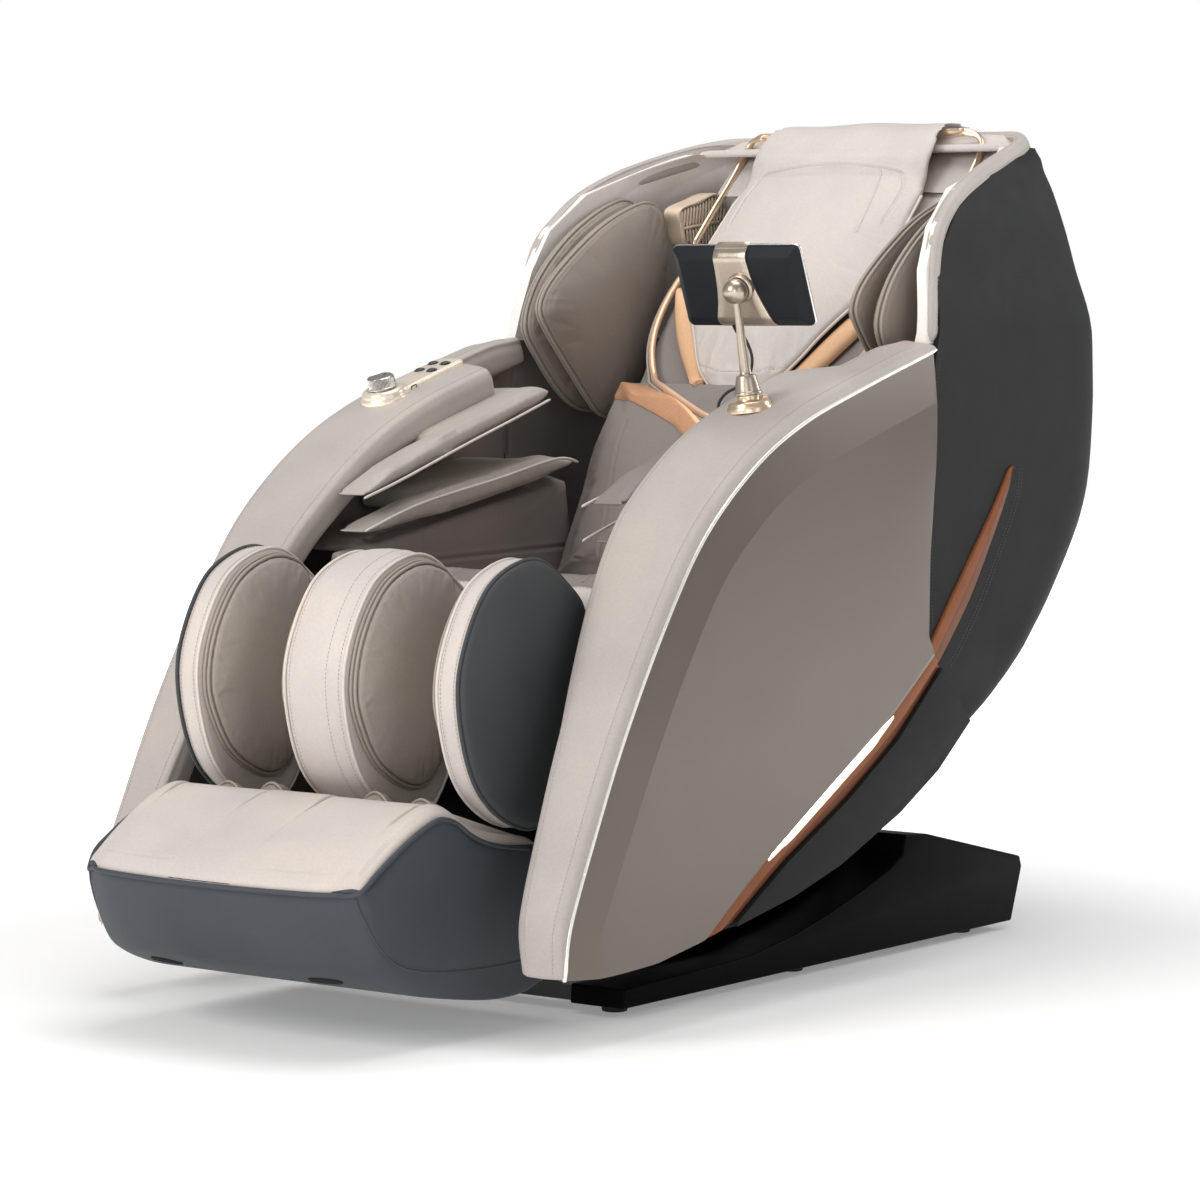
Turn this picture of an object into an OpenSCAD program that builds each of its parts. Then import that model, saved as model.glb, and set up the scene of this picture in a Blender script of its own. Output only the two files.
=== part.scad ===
/* [Overall] */
// Width over the two side panels
chair_w = 790; // [780:2:800]
// Thickness of a moulded side panel
panel_t = 15; // [12:1:16]
// Wall of the rear shell
shell_t = 8; // [6:1:10]
// Clear width between the padded inner walls
seat_w = 430; // [426:2:432]
/* [Base] */
// Width of the floor base
base_w = 584; // [560:2:600]
// Height of the rubber feet
foot_h = 12; // [10:1:14]
/* [Leg rest] */
// Width over the outer calf walls
leg_w = 484; // [480:2:486]
// Width of the divider between the calves
divider_w = 104; // [96:2:108]
// Thickness of one calf airbag pad
calf_pad_t = 26; // [20:1:30]
/* [Controls] */
// Diameter of the control dial
dial_d = 42; // [38:1:44]
// Height of the control dial
dial_h = 18; // [14:1:20]
// Width of the tablet
tablet_w = 204; // [190:2:210]
// Height of the tablet
tablet_h = 114; // [110:2:120]
// Diameter of the tablet's ball joint
ball_d = 34; // [30:1:36]

/* [Hidden] */

// Colours
charcoal = "#3b3e42";
beige = "#cfc6bf";
taupe = "#857a70";
champagne = "#a39d8e";
gold = "#d3b08a";
copper = "#a8663a";
black = "#151515";
steel = "#8c9095";

// Planes across the chair, measured from its centre plane
side_x = chair_w / 2;
panel_x = side_x - panel_t;
shell_x = panel_x - 4;
wall_x = seat_w / 2;
leg_x = leg_w / 2;
base_x = base_w / 2;
gap = 1;

// Joint axes, as [y, z]
tilt_pivot = [350, 150];
hip_pivot = [235, 420];
knee_pivot = [-320, 545];
pivot_r = 10;
// Radial clearance of a pin in its own bore
running = 0.05;
// Direction of the calves from knee to foot, and of the back rails from hip to head
calf_lean = 22;
back_lean = 35;

// Side view curves as [y, z]: the panel's front and top edge, from toe to shoulder
panel_edge = [
    [-588, 92], [-579, 155], [-530, 261], [-467, 381], [-383, 513], [-296, 623],
    [-184, 709], [-69, 764], [75, 808], [256, 857]
];
// The panel's rear seam, from shoulder to hip
panel_seam = [[255, 845], [249, 722], [236, 570], [236, 460]];
// Front edge of the light strip, from hip to toe
strip_edge = [[252, 438], [151, 367], [15, 293], [-150, 202], [-297, 108]];
// Rear edge of the light strip, from toe to hip
strip_back = [[-219, 122], [-103, 188], [40, 256], [164, 327], [278, 418]];
// Lower rear edge of the chair's side, from toe to hip
lower_edge = [[-219, 116], [-88, 140], [24, 170], [170, 226], [268, 276], [352, 338]];
// Outline of a calf wall
calf_outline = [
    [-437, 262], [-500, 268], [-560, 310], [-592, 370], [-604, 446], [-585, 510], [-545, 567],
    [-488, 595], [-436, 597], [-385, 567], [-345, 525], [-352, 450], [-385, 330]
];
// Outline of the floor base
base_outline = [
    [-335, foot_h], [-333, 38], [-44, 45], [60, 60], [150, 80], [230, 102], [300, 124],
    [333, 142], [341, 170], [400, 165], [487, 146], [655, 106], [661, 90], [632, foot_h]
];

// Points of a smooth curve through the given ones, with n steps from each to the next
function curve(p, n = 3) = [
    for (i = [0:len(p) - 2]) for (s = [0:n - 1])
        let (a = p[max(i - 1, 0)], b = p[i], c = p[i + 1], d = p[min(i + 2, len(p) - 1)], t = s / n)
        0.5 * (2 * b + (c - a) * t + (2 * a - 5 * b + 4 * c - d) * t * t
            + (3 * b - a - 3 * c + d) * t * t * t),
    p[len(p) - 1]
];
// A closed smooth curve through the given points
function ring(p, n = 3) = [
    for (i = [0:len(p) - 1]) for (s = [0:n - 1])
        let (m = len(p), a = p[(i + m - 1) % m], b = p[i], c = p[(i + 1) % m], d = p[(i + 2) % m], t = s / n)
        0.5 * (2 * b + (c - a) * t + (2 * a - 5 * b + 4 * c - d) * t * t
            + (3 * b - a - 3 * c + d) * t * t * t)
];
// The height or depth of a table of [place, value] pairs at a place
function at(x, table) = lookup(x, table);
// The same points in the opposite order
function reversed(p) = [for (i = [len(p) - 1:-1:0]) p[i]];
// Points moved sideways from a path by d, to its left
function beside(p, d) = [
    for (i = [0:len(p) - 1])
        let (v = p[min(i + 1, len(p) - 1)] - p[max(i - 1, 0)], u = v / norm(v))
        p[i] + d * [-u[1], u[0]]
];

// A side view outline made solid from x0 to x1
module plate(outline, x0, x1) {
    translate([x0, 0, 0]) rotate([90, 0, 90]) linear_extrude(x1 - x0) polygon(outline);
}
// The same on both sides of the chair
module both() {
    children();
    mirror([1, 0, 0]) children();
}
// A closed sheet between an outer and an inner grid of points
module sheet(outer, inner) {
    rows = len(outer);
    cols = len(outer[0]);
    all = concat([for (r = outer) for (p = r) p], [for (r = inner) for (p = r) p]);
    function id(k, r, c) = k * rows * cols + r * cols + c;
    skin = [
        for (r = [0:rows - 2]) for (c = [0:cols - 2]) each [
            [id(0, r, c), id(0, r + 1, c + 1), id(0, r, c + 1)],
            [id(0, r, c), id(0, r + 1, c), id(0, r + 1, c + 1)],
            [id(1, r, c), id(1, r, c + 1), id(1, r + 1, c + 1)],
            [id(1, r, c), id(1, r + 1, c + 1), id(1, r + 1, c)]
        ]
    ];
    ends = [
        for (r = [0:rows - 2]) each [
            [id(0, r, 0), id(1, r + 1, 0), id(0, r + 1, 0)],
            [id(0, r, 0), id(1, r, 0), id(1, r + 1, 0)],
            [id(0, r, cols - 1), id(0, r + 1, cols - 1), id(1, r + 1, cols - 1)],
            [id(0, r, cols - 1), id(1, r + 1, cols - 1), id(1, r, cols - 1)]
        ]
    ];
    rims = [
        for (c = [0:cols - 2]) each [
            [id(0, 0, c), id(0, 0, c + 1), id(1, 0, c + 1)],
            [id(0, 0, c), id(1, 0, c + 1), id(1, 0, c)],
            [id(0, rows - 1, c), id(1, rows - 1, c + 1), id(0, rows - 1, c + 1)],
            [id(0, rows - 1, c), id(1, rows - 1, c), id(1, rows - 1, c + 1)]
        ]
    ];
    polyhedron(all, concat(skin, ends, rims));
}
// A round bar across the chair
module bar(yz, r, x0, x1) {
    translate([x0, yz[0], yz[1]]) rotate([0, 90, 0]) cylinder(r = r, h = x1 - x0, $fn = 48);
}
// A rectangular tube along X, Y or Z, as outer size and wall
module tube(size, wall, along) {
    inset = [for (i = [0:2]) i == along ? -1 : wall];
    difference() {
        cube(size);
        translate(inset) cube(size - 2 * inset);
    }
}
// A flat bar between two side view points, with a round boss a little wider at each end
module link(a, b, w, x0, x1) {
    v = b - a;
    n = w / 2 * [-v[1], v[0]] / norm(v);
    translate([x0, 0, 0]) rotate([90, 0, 90]) linear_extrude(x1 - x0) {
        polygon([a + n, a - n, b - n, b + n]);
        for (p = [a, b]) translate(p) circle(w / 2 + 1, $fn = 48);
    }
}

// A round cord or rod swept along a path of points; no part of the path may run along ref
module swept(path, r, sides, ref = [1, 0.2, 0]) {
    function tangent(i) = let (v = path[min(i + 1, len(path) - 1)] - path[max(i - 1, 0)]) v / norm(v);
    points = [
        for (i = [0:len(path) - 1])
            let (t = tangent(i), a = cross(t, ref), u = a / norm(a), v = cross(t, u))
            for (k = [0:sides - 1])
                path[i] + r * (u * cos(360 * k / sides) + v * sin(360 * k / sides))
    ];
    last = (len(path) - 1) * sides;
    polyhedron(points, concat(
        [[for (k = [0:sides - 1]) k]],
        [for (i = [0:len(path) - 2]) for (k = [0:sides - 1]) let (n = (k + 1) % sides)
            each [[i * sides + k, (i + 1) * sides + k, (i + 1) * sides + n],
                [i * sides + k, (i + 1) * sides + n, i * sides + n]]],
        [[for (k = [sides - 1:-1:0]) last + k]]
    ));
}

// ---------- floor base ----------
rail_x = 150;
slot_x = 205;
base_skin = 6;
// Block at the rear that holds the mains inlet and the rocker switch
block_x = [140, 238];
block_y = [606, 647];
block_z = [38, 76];
module base_cover() {
    color(black) difference() {
        plate(base_outline, -base_x, base_x);
        plate([
            [-335 + base_skin, foot_h - 1], [-333 + base_skin, 32], [-44, 39], [60, 54], [150, 74],
            [230, 96], [300, 118], [345, 140], [400, 155], [487, 138], [645, 100], [622, foot_h - 1]
        ], -base_x + base_skin, base_x - base_skin);
        // slot in which the carriage and the seat's lugs travel
        translate([-slot_x, -336, foot_h - 1]) cube([2 * slot_x, 800, 200]);
        // window for the inlet block
        translate([block_x[0] - 0.5, block_y[0], block_z[0] - 0.5])
            cube([block_x[1] - block_x[0] + 1, 60, block_z[1] - block_z[0] + 1]);
    }
}
module base_frame() {
    color(steel) {
        both() translate([225, -315, foot_h]) tube([40, 900, 20], 2, 1);
        for (y = [-315, 100, 545]) translate([-224.9, y, foot_h]) tube([449.8, 40, 20], 2, 0);
    }
}
rail_h = 26;
module slide_rails() {
    color("silver") both() difference() {
        translate([rail_x - 16, -300, foot_h + 20]) cube([32, 740, rail_h]);
        translate([rail_x - 11, -301, foot_h + 25]) cube([22, 742, 30]);
    }
}
module base_feet() {
    color(black) for (x = [-1, 1], y = [-290, 120, 560])
        translate([x * 245, y, 0]) cylinder(d = 34, h = foot_h, $fn = 32);
}
rocker_pivot = [628, 57];
rocker_x = [150, 174];
module power_inlet() {
    color(black) {
        difference() {
            translate([block_x[0], block_y[0], block_z[0]])
                cube([block_x[1] - block_x[0], block_y[1] - block_y[0], block_z[1] - block_z[0]]);
            // socket
            translate([190, 625, 47]) cube([34, 40, 20]);
            // pocket and bore of the rocker
            translate([rocker_x[0], 612, 42]) cube([rocker_x[1] - rocker_x[0], 50, 30]);
            bar(rocker_pivot, 3 + running, rocker_x[0] - 5, rocker_x[1] + 5);
        }
        for (pin = [[200, 54], [207, 60], [214, 54]]) translate([pin[0] - 1, 624, pin[1] - 2]) cube([2, 18, 4]);
    }
}
// The rocker lies at one end of its travel
rocker_lean = 8;
module power_switch() {
    color(black) {
        bar(rocker_pivot, 3, rocker_x[0] - 4.5, rocker_x[1] + 4.5);
        translate([rocker_x[0] + 1, rocker_pivot[0], rocker_pivot[1]]) rotate([-rocker_lean, 0, 0])
            rotate([90, 0, 90]) linear_extrude(rocker_x[1] - rocker_x[0] - 2)
                polygon([[-8, -10], [14, -11.5], [18, -5], [19, 0], [18, 5], [14, 11.5], [-8, 10]]);
    }
}

// ---------- sliding carriage ----------
carriage_z = 66;
module carriage_frame() {
    color(steel) {
        both() {
            difference() {
                union() {
                    translate([rail_x - 9, 40, foot_h + 27]) cube([18, 340, carriage_z - foot_h]);
                    translate([rail_x - 9, 320, carriage_z]) cube([18, 60, 90]);
                    bar(tilt_pivot, 30, rail_x - 9, rail_x + 9);
                }
                bar(tilt_pivot, pivot_r + running, rail_x - 20, rail_x + 20);
            }
        }
        for (y = [60, 250]) translate([-rail_x + 9, y, 60]) cube([2 * rail_x - 18, 24, 18]);
    }
}
module tilt_actuator() {
    color(black) {
        translate([-26, 84, 70]) cube([52, 122, 50]);
        translate([0, 88, 96]) rotate([78, 0, 0]) cylinder(d = 34, h = 190, $fn = 40);
        translate([0, -97, 135]) rotate([78, 0, 0]) cylinder(d = 18, h = 60, $fn = 40);
    }
}

// ---------- seat ----------
frame_x = 172;
module seat_frame() {
    lug_x = rail_x + 10;
    color(steel) {
        both() {
            difference() {
                union() {
                    translate([lug_x, -225, 375]) cube([18, 470, 30]);
                    link([210, 385], tilt_pivot, 50, lug_x, lug_x + 18);
                    bar(hip_pivot, 30, lug_x, lug_x + 18);
                    link([-215, 387], [-300, 400], 26, lug_x, lug_x + 18);
                    link([-300, 400], knee_pivot, 26, lug_x, lug_x + 18);
                }
                bar(hip_pivot, pivot_r + running, lug_x - 5, lug_x + 25);
                bar(knee_pivot, pivot_r + running, lug_x - 5, lug_x + 25);
            }
            // stub of the tilt axle, which turns in the carriage
            bar(tilt_pivot, pivot_r, rail_x - 12, lug_x);
            // outriggers that carry the side panels
            for (y = [-200, 60]) translate([lug_x + 18, y, 380]) cube([panel_x - lug_x - 18, 30, 20]);
        }
        for (y = [-224, 60]) translate([-lug_x, y, 378]) tube([2 * lug_x, 30, 24], 2, 0);
    }
}
cushion_top = [
    [-236, 470], [-238, 530], [-222, 552], [-180, 556], [-60, 532], [60, 505], [128, 496]
];
module seat_cushion() {
    color(beige) plate(concat([[-200, 410], [-236, 440]], curve(cushion_top, 2), [[134, 480], [120, 410]]),
        -wall_x + 2, wall_x - 2);
}
// Side view of the panel, inside its trim
panel_face = concat(curve(panel_edge, 3), panel_seam, strip_edge, [[-403, 91], [-509, 86]]);
module side_panel() {
    color(champagne) plate(panel_face, panel_x, side_x);
}
trim_w = 5;
module trim_strip() {
    edge = curve(panel_edge, 3);
    color("#e3ddd2") plate(concat(beside(edge, trim_w + 0.4), reversed(beside(edge, 0.4))),
        side_x - 8, side_x + 1);
}
// The arm band stands proud of the panel's edge and is deep enough to hide the arm's airbags
band_crown = 24;
band_depth = 46;
// The armrest's pad is thinner than the upright band, above this height
pad_depth = 14;
pad_from = 640;
// Inner side of the band, seen from the front as [x, z]: it narrows from the armrest to the toe
band_front = [
    [panel_x - 1, 60], [panel_x - 1, 900], [wall_x + 30, 900], [wall_x + 32, 640], [270, 520],
    [300, 380], [318, 200], [330, 60]
];
module armrest() {
    edge = curve(panel_edge, 3);
    inner = concat(
        beside([for (p = edge) if (p[1] < pad_from) p], -band_depth),
        beside([for (p = edge) if (p[1] > pad_from + 40) p], -pad_depth)
    );
    color(beige) {
        difference() {
            intersection() {
                plate(concat(beside(edge, band_crown), [[258, 884]], reversed(inner)), wall_x, panel_x - gap);
                translate([0, 400, 0]) rotate([90, 0, 0]) linear_extrude(1100) polygon(band_front);
            }
            // room beside the sitter's shoulder for the shoulder airbags
            translate([0, 100, 600]) cube([328, 250, 400]);
        }
        // crown over the panel's edge
        plate(concat(beside(edge, band_crown), reversed(beside(edge, trim_w + 1))),
            panel_x - gap, side_x - 1);
    }
}
light_t = 3;
module light_strip() {
    color(copper) plate(concat(strip_edge, strip_back), panel_x, side_x - light_t);
}
module led_bar() {
    color("white") plate([[118, 337], [15, 281], [-143, 196], [-148, 190], [20, 276], [124, 333]],
        side_x - light_t, side_x - light_t + 2);
}
belly_x = 338;
belly_t = 5;
module lower_shell() {
    color(charcoal) {
        both() plate(concat(beside(strip_back, -0.6), reversed(lower_edge)), panel_x, side_x - light_t);
        // belly pan between the two sides, slotted for the lugs that carry the seat
        difference() {
            plate(concat(beside(lower_edge, 34), reversed(beside(lower_edge, 34 - belly_t))),
                -belly_x, belly_x);
            both() translate([frame_x - 30, 150, 100]) cube([60, 300, 300]);
        }
        // ribs that carry the sides
        for (y = [-60, 150]) both() translate([belly_x - 20, y, at(y, [[-60, 184], [150, 252]])])
            cube([panel_x - belly_x + 20, 12, 20]);
    }
}
wall_t = 26;
module inner_wall() {
    color(taupe) {
        plate([
            [-290, 430], [-300, 585], [-140, 612], [60, 646], [222, 672], [232, 600], [224, 430]
        ], wall_x, wall_x + wall_t);
        // back of the arm's slot
        plate([[-225, 606], [-200, 652], [-130, 686], [60, 752], [200, 798], [224, 816], [256, 824], [256, 676]],
            panel_x - 22, panel_x - 6);
        // floor of the arm's slot
        plate([[-245, 579], [222, 660], [222, 674], [-245, 595]], wall_x + wall_t, panel_x - 6);
    }
}
// Tops and undersides of the two airbag flaps that close on the forearm
flap_upper = [
    [-296, 652], [-200, 680], [-60, 724], [60, 760], [144, 788], [138, 804], [50, 779], [-70, 744],
    [-210, 698]
];
flap_lower = [
    [-300, 604], [-150, 626], [20, 652], [150, 678], [215, 692], [150, 702], [10, 677], [-160, 649]
];
flap_reach = 30;
module arm_airbags() {
    color(taupe) for (flap = [flap_upper, flap_lower]) {
        plate(ring(flap, 2), wall_x - flap_reach, wall_x + 28);
        // root of the flap, which reaches the back of the slot
        intersection() {
            plate(ring(flap, 2), wall_x + 28, panel_x - 22);
            translate([0, -100, 0]) cube([panel_x, 240, 1000]);
        }
    }
}
module electronics_box() {
    color(black) {
        translate([-130, -222, 305]) cube([150, 180, 73]);
        translate([50, -222, 312]) cube([80, 130, 66]);
    }
}
module recline_actuator() {
    color(black) {
        translate([-25, -20, 316]) cube([50, 140, 52]);
        translate([0, 119, 342]) rotate([-98, 0, 0]) cylinder(d = 34, h = 60, $fn = 40);
    }
}

// ---------- arm control ----------
pod_slope = 17;
pod_pos = [-325, -25, 802];
module on_pod() {
    translate(pod_pos) rotate([pod_slope, 0, 0]) children();
}
dial_y = -48;
dial_z = 16;
pod_h = 10;
pod_w = 48;
pod_l = 142;
button_d = 13;
button_rise = 3;
// Places of the four buttons, in two rows behind the dial
function button_at(i) = [i % 2 == 0 ? 11 : -11, i > 2 ? 84 : 52, pod_h];
module controller_pod() {
    color(gold) on_pod() difference() {
        union() {
            translate([0, dial_y, 0]) cylinder(d1 = 68, d2 = 58, h = dial_z, $fn = 96);
            translate([-pod_w / 2, dial_y, 0]) cube([pod_w, pod_l, pod_h]);
            translate([0, dial_y + pod_l, 0]) cylinder(d = pod_w, h = pod_h, $fn = 64);
        }
        // bore for the dial's spindle
        translate([0, dial_y, dial_z - 10]) cylinder(d = 8.1, h = 12, $fn = 48);
        for (i = [1:4]) translate(button_at(i) - [0, 0, 5]) cylinder(d = button_d + 1, h = 20, $fn = 32);
        // charging socket in the side of the pod
        translate([8, dial_y + 34, 1.5]) cube([20, 12, 6.5]);
    }
}
module control_dial() {
    color("silver") on_pod() translate([0, dial_y, dial_z + 0.4]) {
        cylinder(d1 = dial_d, d2 = dial_d - 4, h = dial_h, $fn = 96);
        translate([0, 0, -9]) cylinder(d = 8, h = 12, $fn = 48);
    }
}
module button(i) {
    color(black) on_pod() translate(button_at(i) - [0, 0, 2.5])
        cylinder(d = button_d, h = button_rise + 2.5, $fn = 48);
}

// ---------- tablet stand ----------
mast_foot = [310, -76, 785];
ball_pos = [297, -92, 940];
mast_v = ball_pos - mast_foot;
mast_len = norm(mast_v);
flange_h = 10;
collar_h = 26;
module on_mast() {
    translate(mast_foot) rotate([0, acos(mast_v[2] / mast_len), atan2(mast_v[1], mast_v[0])]) children();
}
module tablet_flange() {
    color(gold) on_mast() difference() {
        union() {
            cylinder(d1 = 62, d2 = 56, h = flange_h, $fn = 96);
            cylinder(d = 30, h = flange_h + 8, $fn = 96);
        }
        translate([0, 0, 3]) cylinder(d = 16.1, h = 30, $fn = 64);
    }
}
module tablet_mast() {
    color(gold) on_mast() {
        translate([0, 0, 4]) cylinder(d = 16, h = 20, $fn = 64);
        translate([0, 0, flange_h + 8.5]) cylinder(d1 = 38, d2 = 26, h = collar_h, $fn = 96);
        translate([0, 0, 40]) cylinder(d1 = 15, d2 = 9, h = mast_len - 40, $fn = 64);
        translate([0, 0, mast_len]) sphere(d = ball_d, $fn = 96);
    }
}
tablet_lean = 22;
// Centre of the ball, seen from the middle of the tablet
ball_seat = [7, -27.6, 3.6];
tablet_pos = ball_pos - [
    ball_seat[0], ball_seat[1] * cos(tablet_lean) - ball_seat[2] * sin(tablet_lean),
    ball_seat[1] * sin(tablet_lean) + ball_seat[2] * cos(tablet_lean)
];
module on_tablet() {
    translate(tablet_pos) rotate([tablet_lean, 0, 0]) children();
}
module tablet_housing() {
    w = tablet_w / 2;
    h = tablet_h / 2;
    color("#20222b") on_tablet() difference() {
        hull() {
            translate([-w, 0, -h]) cube([tablet_w, 8, tablet_h]);
            translate([-w + 14, -10, -h + 14]) cube([tablet_w - 28, 4, tablet_h - 28]);
        }
        // seat of the screen
        translate([-w + 6, 5, -h + 6]) cube([tablet_w - 12, 10, tablet_h - 12]);
    }
}
module tablet_screen() {
    color("#101014") on_tablet()
        translate([-tablet_w / 2 + 6.5, 5, -tablet_h / 2 + 6.5]) cube([tablet_w - 13, 3, tablet_h - 13]);
}
// The clamp straps the tablet and ends in a cup that grips the ball
module tablet_clamp() {
    h = tablet_h / 2;
    color(gold) difference() {
        on_tablet() {
            difference() {
                rotate([90, 0, 90]) translate([0, 0, -30]) linear_extrude(52)
                    polygon([[8, h + 3], [-8, h - 6], [-13, h - 14], [-13, -h + 14], [-8, -h + 6], [8, -h - 3]]);
                rotate([90, 0, 90]) translate([0, 0, -34]) linear_extrude(60) polygon([
                    [9, h + 0.2], [0, h + 0.2], [-10.2, h - 13.8], [-10.2, -h + 13.8], [0, -h - 0.2], [9, -h - 0.2]
                ]);
            }
            translate([ball_seat[0], -12.5, ball_seat[2]]) rotate([90, 0, 0])
                cylinder(d = 40, h = 7.5, $fn = 64);
        }
        translate(ball_pos) sphere(d = ball_d + 0.8, $fn = 96);
    }
}
// Route of the lead from the tablet's underside to the inner edge of the armrest
cable_route = [
    [262, -38, 889], [269, -36, 881], [277, -33.5, 869], [282, -31.5, 852], [280, -30.5, 835],
    [271, -30.5, 821], [257, -32.5, 811], [244, -36, 804], [235, -40, 792], [235, -44, 778],
    [239, -47, 769], [244, -48, 766]
];
cable_d = 4;
module tablet_cable() {
    color(black) swept(curve(cable_route, 3), cable_d / 2, 8);
}

// ---------- backrest ----------
// Rear shell by height: [z, half width, rear at the centre, front edge, roundness of the back]
shell_rows = [
    [325, 352, 466, 345, 95], [365, 362, 530, 316, 110], [430, shell_x, 608, 262, 130],
    [510, shell_x, 698, 262, 150], [629, shell_x, 795, 262, 170], [760, shell_x, 824, 262, 180],
    [883, shell_x, 825, 290, 190], [970, 363, 803, 305, 200], [1030, 355, 788, 350, 210],
    [1085, 342, 775, 422, 215], [1115, 334, 762, 522, 215], [1135, 320, 745, 590, 150],
    [1150, 298, 724, 652, 80]
];
section_n = 22;
roundness = 3.2;
// One horizontal section of a shell with its wall moved in by t
function shell_section(row, t) =
    let (
        w = row[1] - t, back = row[2] - t, front = row[3], d = min(row[4], back - front) - 1,
        c = back - d, start = front > c ? asin(pow(min((front - c) / d, 1), roundness / 2)) : 0
    ) concat(
        [[w * pow(cos(start), 2 / roundness), front, row[0]]],
        [for (i = [0:section_n])
            let (
                f = start + (180 - 2 * start) * (i + 0.5) / (section_n + 1),
                x = cos(f), y = sin(f)
            ) [w * sign(x) * pow(abs(x), 2 / roundness), c + d * pow(y, 2 / roundness), row[0]]],
        [[-w * pow(cos(start), 2 / roundness), front, row[0]]]
    );
module rear_shell() {
    color(charcoal) sheet(
        [for (r = shell_rows) shell_section(r, 0)],
        [for (r = shell_rows) shell_section(r, shell_t)]
    );
}
hood_t = 14;
// Front edge of the hood by height
hood_front = [[868, 262], [883, 268], [970, 288], [1030, 322], [1085, 396], [1115, 494], [1135, 560], [1150, 612]];
module hood() {
    rows = [for (r = shell_rows) if (r[0] > 850) [
        r[0] == 883 ? 868 : r[0], r[1], r[2] - 2, lookup(r[0] == 883 ? 868 : r[0], hood_front), r[4]
    ]];
    top = [
        [1150.5, 296, 722, 680, 40], [1166, 264, 716, 686, 28], [1176, 222, 710, 690, 18]
    ];
    color(beige) {
        sheet(
            [for (r = rows) shell_section(r, shell_t + gap)],
            [for (r = rows) shell_section(r, shell_t + gap + hood_t)]
        );
        // roof that closes the shell's top
        hull() for (r = top) linear_slice(r);
    }
}
module linear_slice(row) {
    section = shell_section(row, 0);
    translate([0, 0, row[0]]) linear_extrude(0.5) polygon([for (p = section) [p[0], p[1]]]);
}
// Front of the back cushion at the chair's centre, from hip to head
back_front = [
    [146, 520], [164, 565], [182, 600], [215, 660], [250, 720], [325, 815], [385, 900],
    [470, 1000], [560, 1090], [610, 1140]
];
cushion_t = 62;
cushion_x = wall_x - 8;
pillow_t = 40;
pillow_w = 300;
module back_cushion() {
    front = curve(back_front, 2);
    head = curve([for (p = back_front) if (p[1] > 750) p], 2);
    color(beige) difference() {
        plate(concat(front, reversed(beside(front, -cushion_t))), -cushion_x, cushion_x);
        // the head of the cushion lies deeper, behind the pillow
        plate(concat(beside(head, 20), [[700, 1200]], reversed(beside(head, -pillow_t - 1))),
            -cushion_x - 1, cushion_x + 1);
    }
}
module head_pillow() {
    front = curve([for (p = back_front) if (p[1] > 800) p], 3);
    color(beige) {
        plate(concat(beside(front, 1), reversed(beside(front, -pillow_t))), -pillow_w / 2, pillow_w / 2);
        // flap that hangs over the hood
        plate([
            [604, 1136], [618, 1162], [636, 1183], [664, 1192], [700, 1193], [732, 1188], [738, 1181],
            [732, 1180], [700, 1185], [664, 1184], [644, 1177], [628, 1157], [616, 1134]
        ], -pillow_w / 2, pillow_w / 2);
    }
}
// Shoulder airbags: an outer pad on the hood and an inner one beside the sitter
module shoulder_airbags() {
    outer = ring([[196, 915], [215, 950], [268, 995], [345, 1030], [440, 1048], [500, 1030], [510, 960],
        [468, 870], [400, 800], [330, 775], [240, 830]], 3);
    inner = ring([[176, 916], [190, 942], [255, 994], [328, 1036], [440, 1066], [482, 1060], [488, 985],
        [448, 860], [378, 790], [320, 768], [250, 825]], 3);
    color(taupe) {
        intersection() {
            plate(outer, 285, 318);
            translate([0, 262, 0]) cube([400, 400, 1200]);
        }
        plate(inner, 248, 284);
    }
}
module speaker() {
    color(gold) difference() {
        plate([[560, 1010], [542, 1064], [640, 1092], [672, 1060], [640, 1010]], 250, 282);
        for (i = [0:4]) translate([249, 572 + 18 * i, 1012 + 3 * i]) cube([6, 7, 30]);
    }
}
trim_r = 6;
// Route of the head trim, from the left temple over the top to the right one
trim_side = [
    [214, 530, 1010], [214, 575, 1056], [214, 622, 1102], [213, 654, 1138], [210, 667, 1158],
    [200, 669, 1171], [178, 664, 1176], [150, 662, 1175]
];
module head_trim() {
    route = concat(trim_side, [for (i = [len(trim_side) - 1:-1:0])
        [-trim_side[i][0], trim_side[i][1], trim_side[i][2]]]);
    color(gold) swept(curve(route, 3), trim_r, 12, [0, 1, -1]);
}
// Copper chevron across the back cushion
module back_band() {
    front = curve([for (p = back_front) if (p[1] > 640 && p[1] < 910) p], 2);
    color(copper) intersection() {
        plate(concat(beside(front, 4), reversed(beside(front, 0.4))), -cushion_x, cushion_x);
        translate([0, 500, 0]) rotate([90, 0, 0]) linear_extrude(500)
            polygon([[0, 690], [cushion_x, 775], [cushion_x, 815], [0, 728], [-cushion_x, 815], [-cushion_x, 775]]);
    }
}
module shell_light_strip() {
    color(copper) plate([
        [262, 448], [317, 510], [422, 625], [470, 684], [482, 690], [471, 651], [383, 521], [300, 432], [284, 424]
    ], shell_x + 0.2, shell_x + 2.6);
}
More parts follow.
